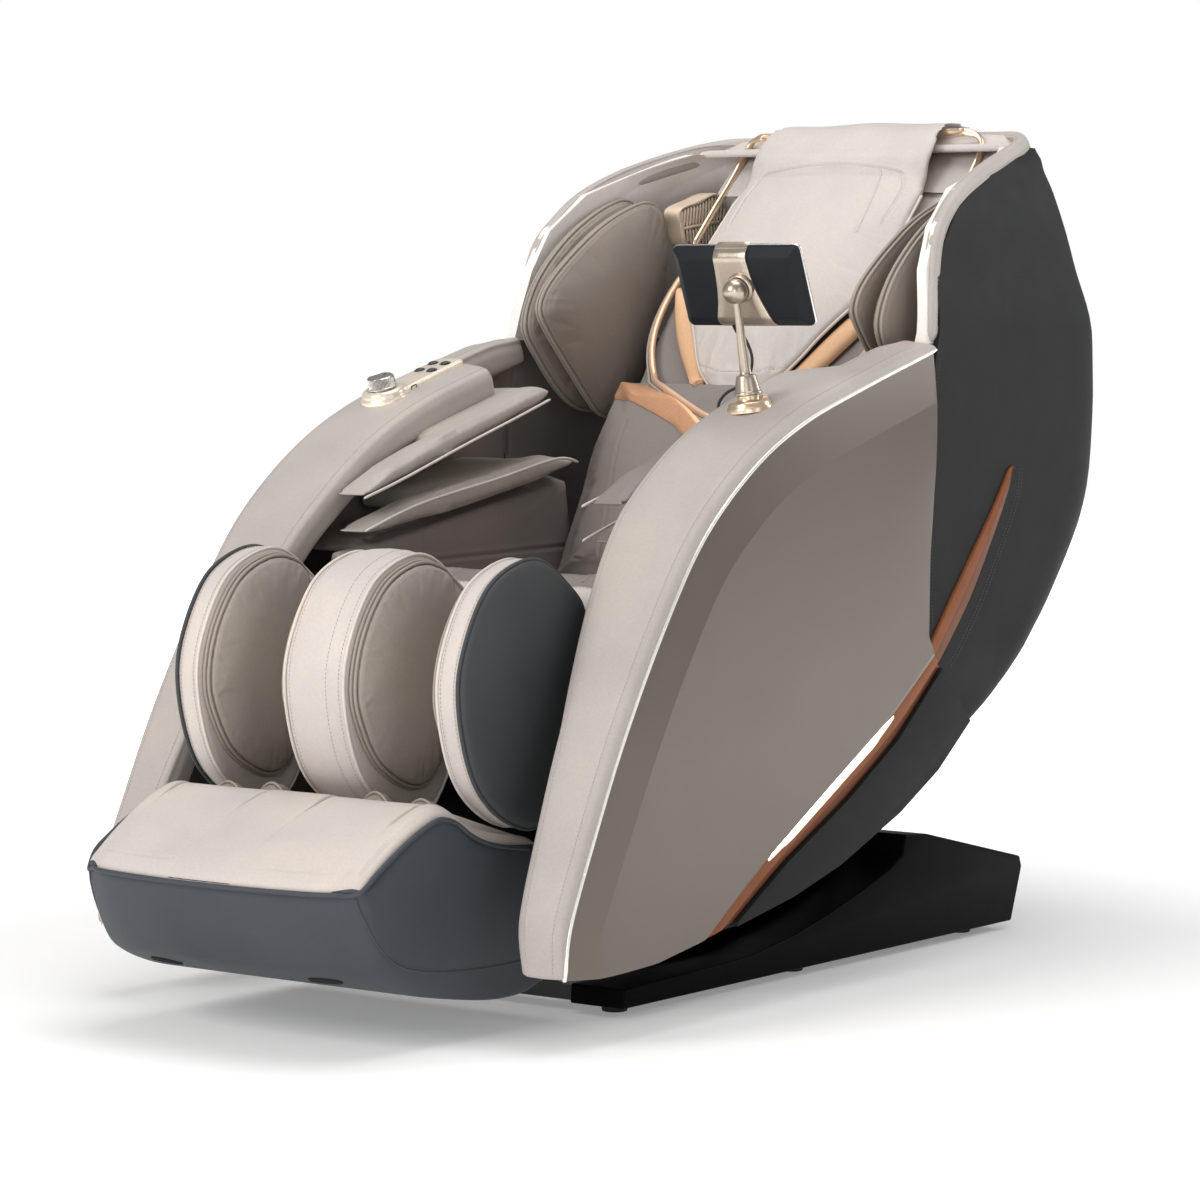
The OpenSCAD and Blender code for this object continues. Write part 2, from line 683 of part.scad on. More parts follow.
// Rails that the massage carriage runs on, in the back's own plane
rail_start = [322, 520];
function along_back(s, off) = rail_start
    + s * [sin(back_lean), cos(back_lean)] + off * [cos(back_lean), -sin(back_lean)];
back_rail_x = 120;
module on_back(s, off, x = 0) {
    p = along_back(s, off);
    translate([x, p[0], p[1]]) rotate([-back_lean, 0, 0]) children();
}
module back_frame() {
    lug_x = rail_x - 9;
    color(steel) {
        both() {
            link(hip_pivot, along_back(0, 40), 44, lug_x - 10, lug_x + 8.5);
            on_back(0, 28, lug_x - 10) cube([18.5, 24, 640]);
            bar(hip_pivot, 28, lug_x - 10, lug_x + 8.5);
            // stub that turns in the seat frame
            bar(hip_pivot, pivot_r, lug_x + 8.5, lug_x + 36);
            // rack rail of the massage carriage
            on_back(20, 2, back_rail_x - 6) cube([14, 26, 600]);
        }
        for (s = [30, 300, 600]) on_back(s, 53, -lug_x - 8) cube([2 * lug_x + 16, 20, 26]);
        both() for (s = [300, 600]) on_back(s, 53, lug_x + 8.2) cube([30, 20, 26]);
    }
}

// ---------- massage mechanism ----------
mech_s = 120;
// The rollers rock in pairs about an axis in front of the carriage
rock_s = mech_s + 55;
rock_off = -34;
rocker_arm = 42;
module massage_carriage() {
    color("#5a5a5e") {
        difference() {
            union() {
                on_back(mech_s, 4, -back_rail_x + 8) cube([2 * back_rail_x - 16, 34, 110]);
                both() link(along_back(rock_s, 8), along_back(rock_s, rock_off), 16, 35, 43);
            }
            bar(along_back(rock_s, rock_off), 5 + running, -50, 50);
        }
        on_back(mech_s + 10, 38, -60) cube([120, 14, 60]);
    }
}
module massage_rollers() {
    color("#d8cfc4") both() {
        for (k = [-1, 1]) bar(along_back(rock_s + rocker_arm * k, rock_off), 15, 52, 70);
        link(along_back(rock_s - rocker_arm, rock_off), along_back(rock_s + rocker_arm, rock_off), 10, 46, 52);
        bar(along_back(rock_s, rock_off), 5, 34, 46);
    }
}

// ---------- leg rest ----------
function calf_point(s, off) = knee_pivot
    + s * [-sin(calf_lean), -cos(calf_lean)] + off * [-cos(calf_lean), sin(calf_lean)];
module legrest_frame() {
    lug_x = rail_x + 9;
    color(steel) {
        both() {
            bar(knee_pivot, pivot_r, lug_x - 11, lug_x + 14);
            bar(knee_pivot, 20, lug_x - 22, lug_x - 8);
            link(knee_pivot, calf_point(200, 0), 14, lug_x - 22, lug_x - 8);
        }
        bar(calf_point(110, 0), 8, 6 - leg_x, leg_x - 6);
        bar(calf_point(200, 0), 6, 6 - leg_x, leg_x - 6);
    }
}
module calf_wall() {
    color(charcoal) plate(ring(calf_outline, 2), leg_x - 44, leg_x);
}
module calf_divider() {
    color(beige) plate(ring(calf_outline, 2), -divider_w / 2, divider_w / 2);
}
calf_pad_outline = [
    [-470, 300], [-545, 335], [-586, 400], [-592, 450], [-574, 508], [-535, 560], [-484, 585],
    [-438, 586], [-398, 560], [-390, 470], [-420, 340]
];
module calf_pads() {
    color(taupe) {
        for (x = [divider_w / 2 + 0.4, leg_x - 44.4 - calf_pad_t]) both()
            plate(ring(calf_pad_outline, 2), x, x + calf_pad_t);
        // padded back of each channel
        both() plate([[-385, 500], [-376, 500], [-420, 330], [-432, 330]],
            divider_w / 2 + calf_pad_t + 1, leg_x - 45 - calf_pad_t);
    }
}

// ---------- foot rest ----------
foot_top = [
    [-800, 212], [-770, 232], [-720, 262], [-667, 286], [-620, 294], [-560, 262], [-500, 246], [-424, 236]
];
foot_under = [
    [-800, 200], [-790, 168], [-775, 130], [-752, 100], [-700, 76], [-630, 58], [-500, 40], [-420, 52], [-372, 100],
    [-376, 200], [-400, 236]
];
foot_skin = 5;
foot_line = concat(curve(foot_top, 2), reversed(curve(foot_under, 2)));
foot_hollow = [
    [-786, 198], [-765, 222], [-720, 252], [-667, 276], [-622, 284], [-606, 276], [-606, 200],
    [-575, 134], [-480, 124], [-410, 146], [-382, 190], [-379, 104], [-424, 62], [-500, 50],
    [-628, 68], [-696, 86], [-745, 107], [-766, 136], [-780, 168]
];
well = [[-600, 300], [-590, 190], [-560, 150], [-470, 140], [-420, 160], [-410, 260], [-400, 320]];
// Window in the sole of each well, through which the rollers reach the foot
sole_window = [[-600, 180], [-575, 110], [-510, 110], [-510, 180]];
module footrest_shell() {
    side = leg_x - 8;
    color(charcoal) difference() {
        union() {
            plate(foot_line, -side, side);
            plate(concat(curve([[-826, 200], [-822, 212], [-800, 212]], 2), [[-799, 140]]), -160, 160);
        }
        plate(foot_hollow, -side + foot_skin, side - foot_skin);
        both() plate(well, divider_w / 2 + 6, leg_x - 50);
    }
}
module footrest_cover() {
    face = [for (p = curve(foot_top, 2)) if (p[0] < -618) p];
    color(beige) plate(concat(beside(face, 12), reversed(beside(face, 0.5))), -leg_x + 12, leg_x - 12);
}
module foot_pads() {
    color(taupe) both() difference() {
        plate(well, divider_w / 2 + 7, leg_x - 51);
        plate([[-592, 340], [-582, 196], [-556, 160], [-470, 150], [-426, 168], [-417, 260], [-400, 340]],
            divider_w / 2 + 15, leg_x - 59);
        plate([[-592, 340], [-620, 240], [-380, 240], [-390, 340]], 40, leg_x);
        plate(sole_window, 80, 160);
    }
}
module foot_vents() {
    color(black) both() translate([133, -712, 92]) rotate([-28, 0, 0]) cube([46, 16, 7], center = true);
}
foot_roller_at = [-560, 108];
module foot_rollers() {
    color("#d8cfc4") {
        bar(foot_roller_at, 4, -166, 166);
        both() for (x = [85, 105, 125, 145]) bar(foot_roller_at, 15, x, x + 10);
    }
}

// Each node, drawn alone or with all the others
base_cover();
base_frame();
slide_rails();
base_feet();
power_inlet();
power_switch();
carriage_frame();
tilt_actuator();
seat_frame();
seat_cushion();
side_panel();  // side_panel_left
mirror([1, 0, 0]) side_panel();  // side_panel_right
armrest();  // armrest_left
mirror([1, 0, 0]) armrest();  // armrest_right
both() trim_strip();  // trim_strips
both() light_strip();  // light_strips
both() led_bar();  // led_bars
lower_shell();
inner_wall();  // inner_wall_left
mirror([1, 0, 0]) inner_wall();  // inner_wall_right
arm_airbags();  // arm_airbags_left
mirror([1, 0, 0]) arm_airbags();  // arm_airbags_right
controller_pod();
tablet_flange();
electronics_box();
recline_actuator();
control_dial();
button(1);  // button_1
button(2);  // button_2
button(3);  // button_3
button(4);  // button_4
tablet_mast();
tablet_housing();
tablet_clamp();
tablet_screen();
tablet_cable();
back_frame();
rear_shell();
hood();
back_cushion();
head_pillow();
shoulder_airbags();  // shoulder_airbags_left
mirror([1, 0, 0]) shoulder_airbags();  // shoulder_airbags_right
both() speaker();  // speakers
head_trim();
back_band();
both() shell_light_strip();  // shell_light_strips
massage_carriage();
massage_rollers();
legrest_frame();
calf_wall();  // calf_wall_left
mirror([1, 0, 0]) calf_wall();  // calf_wall_right
calf_divider();
calf_pads();
footrest_shell();
footrest_cover();
foot_pads();
foot_vents();
foot_rollers();
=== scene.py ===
import math
import bpy
import bmesh
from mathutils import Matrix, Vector, noise
from mathutils.bvhtree import BVHTree
from mathutils.kdtree import KDTree


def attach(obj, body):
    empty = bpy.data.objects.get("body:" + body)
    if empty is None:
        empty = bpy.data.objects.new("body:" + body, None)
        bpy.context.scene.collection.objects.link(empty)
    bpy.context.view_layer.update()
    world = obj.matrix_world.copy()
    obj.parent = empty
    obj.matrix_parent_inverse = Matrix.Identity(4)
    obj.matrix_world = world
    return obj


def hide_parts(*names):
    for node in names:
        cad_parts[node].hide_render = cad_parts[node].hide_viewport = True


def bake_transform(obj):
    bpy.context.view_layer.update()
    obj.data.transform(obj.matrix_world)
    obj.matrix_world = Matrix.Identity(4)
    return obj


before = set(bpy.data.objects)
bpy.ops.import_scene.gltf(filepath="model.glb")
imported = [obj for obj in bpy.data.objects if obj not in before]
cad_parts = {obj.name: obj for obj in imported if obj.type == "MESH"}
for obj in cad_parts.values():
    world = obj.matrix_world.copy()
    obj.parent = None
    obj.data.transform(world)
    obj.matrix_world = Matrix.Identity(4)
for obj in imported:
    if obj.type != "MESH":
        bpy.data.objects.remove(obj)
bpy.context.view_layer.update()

SIDES = ((1, "left"), (-1, "right"))
scene = bpy.context.scene

# ---------------------------------------------------------------- camera
cam = bpy.data.objects.new("camera", bpy.data.cameras.new("camera"))
scene.collection.objects.link(cam)
scene.camera = cam
cam.data.lens, cam.data.sensor_width = 125.09, 36.0
cam.location = (3.470438, -4.633522, 0.936918)
az, el = math.radians(36.79974), math.radians(4.20108)
back = Vector((math.sin(az) * math.cos(el), -math.cos(az) * math.cos(el), math.sin(el)))
cam.rotation_mode = "QUATERNION"
cam.rotation_quaternion = (-back).to_track_quat("-Z", "Y")
cam.data.clip_start, cam.data.clip_end = 0.05, 60.0


# ---------------------------------------------------------------- points and curves (millimetres)
def spline_point(a, b, c, d, t):
    """Point at t (0 to 1) between b and c on the smooth curve through a, b, c and d."""
    return tuple(0.5 * (2 * B + (C - A) * t + (2 * A - 5 * B + 4 * C - D) * t * t
                        + (3 * B - A - 3 * C + D) * t ** 3) for A, B, C, D in zip(a, b, c, d))


def curve(p, n=6):
    """Smooth curve through points of any dimension, n steps from each to the next."""
    out = []
    for i in range(len(p) - 1):
        a, b, c, d = p[max(i - 1, 0)], p[i], p[i + 1], p[min(i + 2, len(p) - 1)]
        for s in range(n):
            t = s / n
            out.append(spline_point(a, b, c, d, t))
    return out + [tuple(p[-1])]


def ring(p, n=6):
    """The same smooth curve, closed."""
    m, out = len(p), []
    for i in range(m):
        a, b, c, d = p[i - 1], p[i], p[(i + 1) % m], p[(i + 2) % m]
        for s in range(n):
            t = s / n
            out.append(spline_point(a, b, c, d, t))
    return out


def resample(p, n, closed=False):
    """The same line as n points an even distance apart."""
    q = [Vector(v) for v in p] + ([Vector(p[0])] if closed else [])
    d = [0.0]
    for a, b in zip(q, q[1:]):
        d.append(d[-1] + (b - a).length)
    out, k, m = [], 0, n if closed else n - 1
    for i in range(n):
        t = d[-1] * i / m
        while k < len(d) - 2 and d[k + 1] < t:
            k += 1
        f = (t - d[k]) / max(d[k + 1] - d[k], 1e-9)
        out.append(tuple(q[k].lerp(q[k + 1], min(max(f, 0), 1))))
    return out


def beside(p, d):
    """2-D points moved to the left of their path by d, one number or one a point."""
    out = []
    for i, v in enumerate(p):
        a, b = Vector(p[max(i - 1, 0)]), Vector(p[min(i + 1, len(p) - 1)])
        u = (b - a).normalized()
        k = d[i] if isinstance(d, (list, tuple)) else d
        out.append((v[0] - u.y * k, v[1] + u.x * k))
    return out


def table(x, rows):
    """The value at x between the rows of a table of (place, value), smooth between them."""
    if x <= rows[0][0]:
        return rows[0][1]
    for (a, u), (b, v) in zip(rows, rows[1:]):
        if x <= b:
            t = (x - a) / (b - a)
            return u + (v - u) * t
    return rows[-1][1]


def smooth(t):
    t = min(max(t, 0.0), 1.0)
    return t * t * (3 - 2 * t)


def yz(y, z, x):
    return (x, y, z)


def mirror(points):
    return [(-x, y, z) for x, y, z in points]


# ---------------------------------------------------------------- making pieces
def piece(obj, body, replaces=()):
    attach(obj, body)
    if replaces:
        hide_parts(*replaces)
    return obj


def build(name, verts, faces, mats, face_mats=None, sharp=40, fix=True):
    """An object from points in millimetres."""
    me = bpy.data.meshes.new(name)
    me.from_pydata([(x * 1e-3, y * 1e-3, z * 1e-3) for x, y, z in verts], [], faces)
    for m in mats if isinstance(mats, (list, tuple)) else [mats]:
        me.materials.append(m)
    if face_mats:
        me.polygons.foreach_set("material_index", face_mats)
    if fix:
        bm = bmesh.new()
        bm.from_mesh(me)
        bmesh.ops.remove_doubles(bm, verts=bm.verts, dist=1e-6)
        bmesh.ops.recalc_face_normals(bm, faces=bm.faces)
        bm.to_mesh(me)
        bm.free()
    obj = bpy.data.objects.new(name, me)
    scene.collection.objects.link(obj)
    shade(obj, sharp)
    return obj


def shade(obj, sharp=40):
    me = obj.data
    me.polygons.foreach_set("use_smooth", [True] * len(me.polygons))
    me.set_sharp_from_angle(angle=math.radians(sharp))
    me.update()


def grid(rows, closed_rows=False, closed_cols=False, cap=False, base=0):
    """Faces of a grid of points; cap closes the first and last row."""
    R, C = len(rows), len(rows[0])
    idx = lambda r, c: base + (r % R) * C + (c % C)
    faces = []
    for r in range(R if closed_rows else R - 1):
        for c in range(C if closed_cols else C - 1):
            faces.append((idx(r, c), idx(r, c + 1), idx(r + 1, c + 1), idx(r + 1, c)))
    if cap:
        faces.append([base + c for c in range(C)][::-1])
        faces.append([base + (R - 1) * C + c for c in range(C)])
    return [v for r in rows for v in r], faces


class Bag:
    """Many small solids gathered in one object: cords of piping, stitches, ribs."""
    def __init__(self):
        self.v, self.f = [], []

    def add(self, verts, faces):
        n = len(self.v)
        self.v += verts
        self.f += [tuple(i + n for i in f) for f in faces]

    def tube(self, path, r, sides=8, closed=False, flat=1.0, up=None, taper=True):
        """A round or flattened cord along a path; flat scales its thickness along up."""
        P = [Vector(p) for p in path]
        n, prev, rows = len(P), None, []
        for i, p in enumerate(P):
            a = P[i - 1] if (i or closed) else p
            b = P[(i + 1) % n] if (i < n - 1 or closed) else p
            t = (b - a).normalized()
            if up is not None:
                u = Vector(up[i] if isinstance(up, list) else up)
                u = (u - t * u.dot(t)).normalized()
            else:
                u = prev - t * prev.dot(t) if prev else t.orthogonal()
                u.normalize()
            prev = u
            w = t.cross(u)
            k = r[i] if isinstance(r, (list, tuple)) else r
            if taper and not closed and i in (0, n - 1):
                k *= 0.6
            rows.append([tuple(p + u * (k * flat * math.cos(2 * math.pi * s / sides))
                               + w * (k * math.sin(2 * math.pi * s / sides)))
                         for s in range(sides)])
        v, f = grid(rows, closed_rows=closed, closed_cols=True, cap=not closed)
        self.add(v, f)

    def stitches(self, path, normals, pitch=6.0, length=4.0, r=0.45, lift=0.25):
        """Thread stitches along a path that lies on a surface."""
        P = [Vector(p) for p in path]
        N = [Vector(n) for n in normals]
        d = [0.0]
        for a, b in zip(P, P[1:]):
            d.append(d[-1] + (b - a).length)
        count = int(d[-1] / pitch)

        def place(t):
            k = 0
            while k < len(d) - 2 and d[k + 1] < t:
                k += 1
            f = (t - d[k]) / max(d[k + 1] - d[k], 1e-6)
            return P[k].lerp(P[k + 1], f), N[k].lerp(N[k + 1], f).normalized()

        for i in range(count):
            t0 = (i + 0.5) * pitch - length / 2
            a, na = place(max(t0, 0))
            b, nb = place(min(t0 + length, d[-1]))
            t = (b - a)
            if t.length < 0.5:
                continue
            t.normalize()
            n = (na + nb).normalized()
            n = (n - t * n.dot(t)).normalized()
            w = t.cross(n)
            mid = (a + b) / 2 + n * lift
            h = (b - a).length / 2
            rows = []
            for s, k in ((-1, 0.35), (-0.72, 1), (0.72, 1), (1, 0.35)):
                c = mid + t * (h * s) - n * (r * 0.9 if abs(s) == 1 else 0)
                rows.append([tuple(c + (w * math.cos(q) + n * math.sin(q)) * (r * k)) for q in (0, math.pi / 2,
                        math.pi, 1.5 * math.pi)])
            v, f = grid(rows, closed_cols=True, cap=True)
            self.add(v, f)

    def make(self, name, mat, sharp=50):
        return build(name, self.v, self.f, mat, sharp=sharp)


def disc(outline, rows, place=yz, centre=None):
    """A closed form from a closed outline: rows of (inset, part of the way to the centre, height)."""
    c = Vector(centre) if centre else sum((Vector(p) for p in outline), Vector((0, 0))) / len(outline)
    pts = []
    for inset, part, h in rows:
        r = []
        for p in outline:
            v = Vector(p) - c
            L = max(v.length - inset, 0.0) * (1 - part)
            q = c + v.normalized() * L
            r.append(place(q.x, q.y, h))
        pts.append(r)
    v, f = grid(pts, closed_cols=True)
    n = len(outline)
    for row, h, flip in ((0, rows[0][2], True), (len(rows) - 1, rows[-1][2], False)):
        v.append(place(c.x, c.y, h))
        k = len(v) - 1
        for i in range(n):
            a, b = row * n + i, row * n + (i + 1) % n
            f.append((k, a, b) if flip else (k, b, a))
    return v, f


def surface(obj):
    bm = bmesh.new()
    bm.from_mesh(obj.data)
    t = BVHTree.FromBMesh(bm)
    bm.free()
    return t


def onto(tree, path, lift=0.0):
    """Points in millimetres moved onto a surface, and its normals there."""
    pts, ns = [], []
    for p in path:
        hit, n, _, _ = tree.find_nearest(Vector(p) * 1e-3)
        pts.append(tuple(hit * 1e3 + n * lift))
        ns.append(n.copy())
    for _ in range(2):
        ns = [(ns[max(i - 1, 0)] + ns[i] + ns[min(i + 1, len(ns) - 1)]).normalized() for i in range(len(ns))]
    return pts, ns


def point_tree(points):
    """Nearest-point lookup over points in millimetres."""
    kd = KDTree(max(len(points), 1))
    for i, p in enumerate(points):
        kd.insert(Vector(p) * 1e-3, i)
    kd.balance()
    return kd


def groove(obj, lines, width=4.0, depth=2.0, welt=0.0):
    """Presses sewn lines into a fine mesh; welt raises the leather beside them."""
    tree_pts = []
    for line in lines:
        L = sum((Vector(b) - Vector(a)).length for a, b in zip(line, line[1:]))
        tree_pts += resample(line, max(int(L / 1.5), 2))
    kd = point_tree(tree_pts)
    me = obj.data
    for v in me.vertices:
        _, _, d = kd.find(v.co)
        d *= 1e3
        if d < width * 3:
            k = -depth * math.exp(-(d / width) ** 2) + welt * math.exp(-((d - width * 1.6) / width) ** 2)
            v.co += v.normal * (k * 1e-3)
    me.update()


def soften(obj, voxel=5.0, pressure=4.0, cap=8.0, pins=(), pin_r=5.0, frames=20, keep=None):
    """Remeshes a pad, blows it up as cloth with its seams held, and leaves the result in its mesh."""
    dg = bpy.context.evaluated_depsgraph_get()
    m = obj.modifiers.new("remesh", "REMESH")
    m.mode, m.voxel_size, m.use_smooth_shade = "VOXEL", voxel * 1e-3, True
    dg.update()
    me = bpy.data.meshes.new_from_object(obj.evaluated_get(dg))
    obj.modifiers.clear()
    old, obj.data = obj.data, me
    if not me.materials:
        for x in old.materials:
            me.materials.append(x)
    rest = [v.co.copy() for v in me.vertices]
    if pins or keep:
        pts = [p for line in pins for p in line]
        kd = point_tree(pts)
        vg = obj.vertex_groups.new(name="seam")
        hold = [v.index for v in me.vertices
                if (pts and kd.find(v.co)[2] < pin_r * 1e-3) or (keep and keep(*(v.co * 1e3)))]
        vg.add(hold, 1.0, "REPLACE")
    c = obj.modifiers.new("cloth", "CLOTH")
    s = c.settings
    s.quality, s.mass = 4, 0.3
    s.tension_stiffness = s.compression_stiffness = 12
    s.shear_stiffness, s.bending_stiffness = 4, 0.4
    s.use_pressure, s.uniform_pressure_force = True, pressure
    s.effector_weights.gravity = 0
    c.collision_settings.use_collision = False
    if pins or keep:
        s.vertex_group_mass = "seam"
    c.point_cache.frame_start, c.point_cache.frame_end = 1, frames
    for f in range(1, frames + 1):
        scene.frame_set(f)
    dg = bpy.context.evaluated_depsgraph_get()
    ev = obj.evaluated_get(dg).data
    moved = [v.co.copy() for v in ev.vertices]
    obj.modifiers.clear()
    scene.frame_set(1)
    for v, a, b in zip(me.vertices, rest, moved):
        d = b - a
        lim = cap * 1e-3
        if d.length > lim:
            d *= lim / d.length
        v.co = a + d
    obj.vertex_groups.clear()
    s = obj.modifiers.new("sub", "SUBSURF")
    s.levels = 1
    dg = bpy.context.evaluated_depsgraph_get()
    dg.update()
    fine = bpy.data.meshes.new_from_object(obj.evaluated_get(dg))
    obj.modifiers.clear()
    obj.data = fine
    fine.polygons.foreach_set("use_smooth", [True] * len(fine.polygons))
    fine.update()
    return obj


def bevelled(obj, width, segments=3, angle=35):
    b = obj.modifiers.new("bevel", "BEVEL")
    b.width, b.segments, b.limit_method, b.angle_limit = width * 1e-3, segments, "ANGLE", math.radians(angle)
    dg = bpy.context.evaluated_depsgraph_get()
    dg.update()
    me = bpy.data.meshes.new_from_object(obj.evaluated_get(dg))
    obj.modifiers.clear()
    obj.data = me
    shade(obj, 40)
    return obj


# ---------------------------------------------------------------- materials
class Mat:
    """A node material built around one Principled shader."""
    def __init__(self, name):
        self.m = bpy.data.materials.new(name)
        self.m.use_nodes = True
        self.nt = self.m.node_tree
        self.b = self.nt.nodes["Principled BSDF"]
        self.co = self.nt.nodes.new("ShaderNodeTexCoord").outputs["Object"]

    def put(self, socket, value):
        """Links the socket to another one, or gives it a plain value."""
        if isinstance(value, bpy.types.NodeSocket):
            self.nt.links.new(value, socket)
        else:
            socket.default_value = value

    def node(self, kind, props=None, **inputs):
        n = self.nt.nodes.new("ShaderNode" + kind)
        for k, v in (props or {}).items():
            setattr(n, k, v)
        for k, v in inputs.items():
            self.put(n.inputs[k.replace("_", " ")], v)
        return n

    def stretch(self, x, y, z, turn=(0, 0, 0)):
        return self.node("Mapping", Vector=self.co, Scale=(x, y, z), Rotation=turn).outputs["Vector"]

    def noise(self, scale, detail=2.0, vector=None, distortion=0.0, rough=0.5):
        return self.node("TexNoise", Vector=vector or self.co, Scale=scale, Detail=detail,
                         Distortion=distortion, Roughness=rough).outputs["Fac"]

    def ramp(self, fac, stops):
        n = self.node("ValToRGB", Fac=fac)
        e = n.color_ramp.elements
        while len(e) < len(stops):
            e.new(0.5)
        for x, (p, c) in zip(e, stops):
            x.position, x.color = p, (*c, 1)
        return n.outputs["Color"]

    def remap(self, value, lo, hi, a=0.0, b=1.0):
        return self.node("MapRange", Value=value, From_Min=a, From_Max=b, To_Min=lo, To_Max=hi).outputs["Result"]

    def math(self, op, a, b):
        n = self.nt.nodes.new("ShaderNodeMath")
        n.operation = op
        self.put(n.inputs[0], a)
        self.put(n.inputs[1], b)
        return n.outputs[0]

    def times(self, a, b, factor=1.0):
        n = self.nt.nodes.new("ShaderNodeMix")
        n.data_type, n.blend_type = "RGBA", "MULTIPLY"
        n.inputs[0].default_value = factor
        self.nt.links.new(a, n.inputs[6])
        self.nt.links.new(b, n.inputs[7])
        return n.outputs[2]

    def wear_and_crease_shade(self, lo=0.88, hi=1.10):
        """Darker in creases as painted shade, and lighter on worn edges."""
        p = self.node("NewGeometry").outputs["Pointiness"]
        return self.ramp(p, [(0.42, (lo,) * 3), (0.49, (1, 1, 1)), (0.52, (1, 1, 1)), (0.6, (hi,) * 3)])

    def bump(self, height, strength, distance, normal=None):
        n = self.node("Bump", Height=height, Strength=strength, Distance=distance)
        if normal:
            self.nt.links.new(normal, n.inputs["Normal"])
        return n.outputs["Normal"]

    def set(self, **inputs):
        for k, v in inputs.items():
            self.put(self.b.inputs[k.replace("_", " ")], (*v, 1) if isinstance(v, tuple) and len(v) == 3 else v)
        return self.m


def tint(c, k):
    return tuple(min(v * k, 1.0) for v in c)


def leather(name, color, grain=0.35, rough=(0.42, 0.58), cell=650, vary=0.07, warm=(1.03, 1.0, 0.96), spec=0.4):
    """Fine-grained upholstery leather with soft tone changes, small folds, rubbed seams and painted shade in the
    creases.
    """
    m = Mat(name)
    broad = m.noise(7, 3)
    c = m.ramp(broad, [(0.3, tint(color, 1 - vary)), (0.5, color),
                       (0.72, tuple(min(v * (1 + vary * 0.7) * w, 1) for v, w in zip(color, warm)))])
    fine = m.ramp(m.noise(240, 3), [(0.3, (0.955,) * 3), (0.7, (1.03,) * 3)])
    # lighter worn edges, and painted shade darkening the creases
    c = m.times(m.times(c, fine), m.wear_and_crease_shade())
    cells = m.node("TexVoronoi", {"feature": "DISTANCE_TO_EDGE"}, Vector=m.co, Scale=cell).outputs["Distance"]
    pores = m.math("ADD", m.math("MULTIPLY", m.remap(cells, 0, 1, 0, 0.22), 0.7),
                   m.math("MULTIPLY", m.noise(1500, 2), 0.5))
    folds = m.noise(55, 4, distortion=0.8)
    n = m.bump(folds, 0.10, 0.0012)
    n = m.bump(pores, grain, 0.00022, n)
    r = m.math("ADD", m.remap(m.noise(28, 3), rough[0], rough[1]),
               m.math("MULTIPLY", m.remap(cells, 0.5, -0.5, 0, 0.3), 0.06))
    return m.set(Base_Color=c, Roughness=r, Normal=n, Specular_IOR_Level=spec,
                 Sheen_Weight=0.12 if spec > 0.3 else 0.03,
                 Sheen_Roughness=0.4, Sheen_Tint=tint(color, 1.2))


def paint(name, color, rough=(0.3, 0.38), metallic=0.55, coat=0.25):
    """Metallic lacquer: fine flake, faint orange peel, handling marks."""
    m = Mat(name)
    c = m.ramp(m.noise(3.2, 2), [(0.3, tint(color, 0.95)), (0.7, tint(color, 1.05))])
    flake = m.ramp(m.noise(3800, 1), [(0.35, (0.93,) * 3), (0.65, (1.07,) * 3)])
    # lighter worn edges, and painted shade darkening the creases
    c = m.times(m.times(c, flake), m.wear_and_crease_shade(0.92, 1.06))
    n = m.bump(m.noise(420, 2), 0.05, 0.0002)
    r = m.remap(m.noise(18, 4, distortion=1.2), rough[0], rough[1])
    return m.set(Base_Color=c, Roughness=r, Normal=n, Metallic=metallic, Coat_Weight=coat, Coat_Roughness=0.18)


def metal(name, color, rough=(0.22, 0.34), axis=(1, 1, 1), turn=(0, 0, 0), metallic=1.0, line=0.25, aniso=0.0,
          spec=0.5):
    """Anodised or plated metal with brushing along one direction."""
    m = Mat(name)
    lines = m.noise(260, 3, m.stretch(*axis, turn))
    c = m.ramp(m.noise(9, 2), [(0.3, tint(color, 0.94)), (0.7, tint(color, 1.05))])
    # lighter worn edges, and painted shade darkening the creases
    c = m.times(m.times(c, m.ramp(lines, [(0.3, (0.93,) * 3), (0.7, (1.05,) * 3)])), m.wear_and_crease_shade(0.85, 1.12))
    n = m.bump(lines, line, 0.00008)
    r = m.remap(m.noise(70, 3), rough[0], rough[1])
    return m.set(Base_Color=c, Roughness=r, Normal=n, Metallic=metallic, Anisotropic=aniso, Specular_IOR_Level=spec)


def plastic(name, color, rough=(0.4, 0.52), grain=0.15, cell=900, coat=0.0, spec=0.5, dust=0.04):
    """Moulded plastic with spark texture, smudges and a little dust."""
    m = Mat(name)
    c = m.ramp(m.noise(11, 4, distortion=0.6), [(0.3, tint(color, 1 - dust)),
                                                (0.7, tuple(min(v * (1 + dust) + dust * 0.02, 1) for v in color))])
    # lighter worn edges, and painted shade darkening the creases
    c = m.times(c, m.wear_and_crease_shade(0.9, 1.25))
    n = m.bump(m.noise(cell, 3), grain, 0.00012)
    r = m.remap(m.noise(34, 4, distortion=1.5), rough[0], rough[1])
    return m.set(Base_Color=c, Roughness=r, Normal=n, Coat_Weight=coat, Coat_Roughness=0.08, Specular_IOR_Level=spec)


def thread(name, color):
    """Twisted thread."""
    m = Mat(name)
    w = m.noise(2600, 1)
    c = m.ramp(w, [(0.3, tint(color, 0.75)), (0.7, color)])
    return m.set(Base_Color=c, Roughness=m.remap(w, 0.75, 0.6), Normal=m.bump(w, 0.5, 0.0001), Sheen_Weight=0.3)


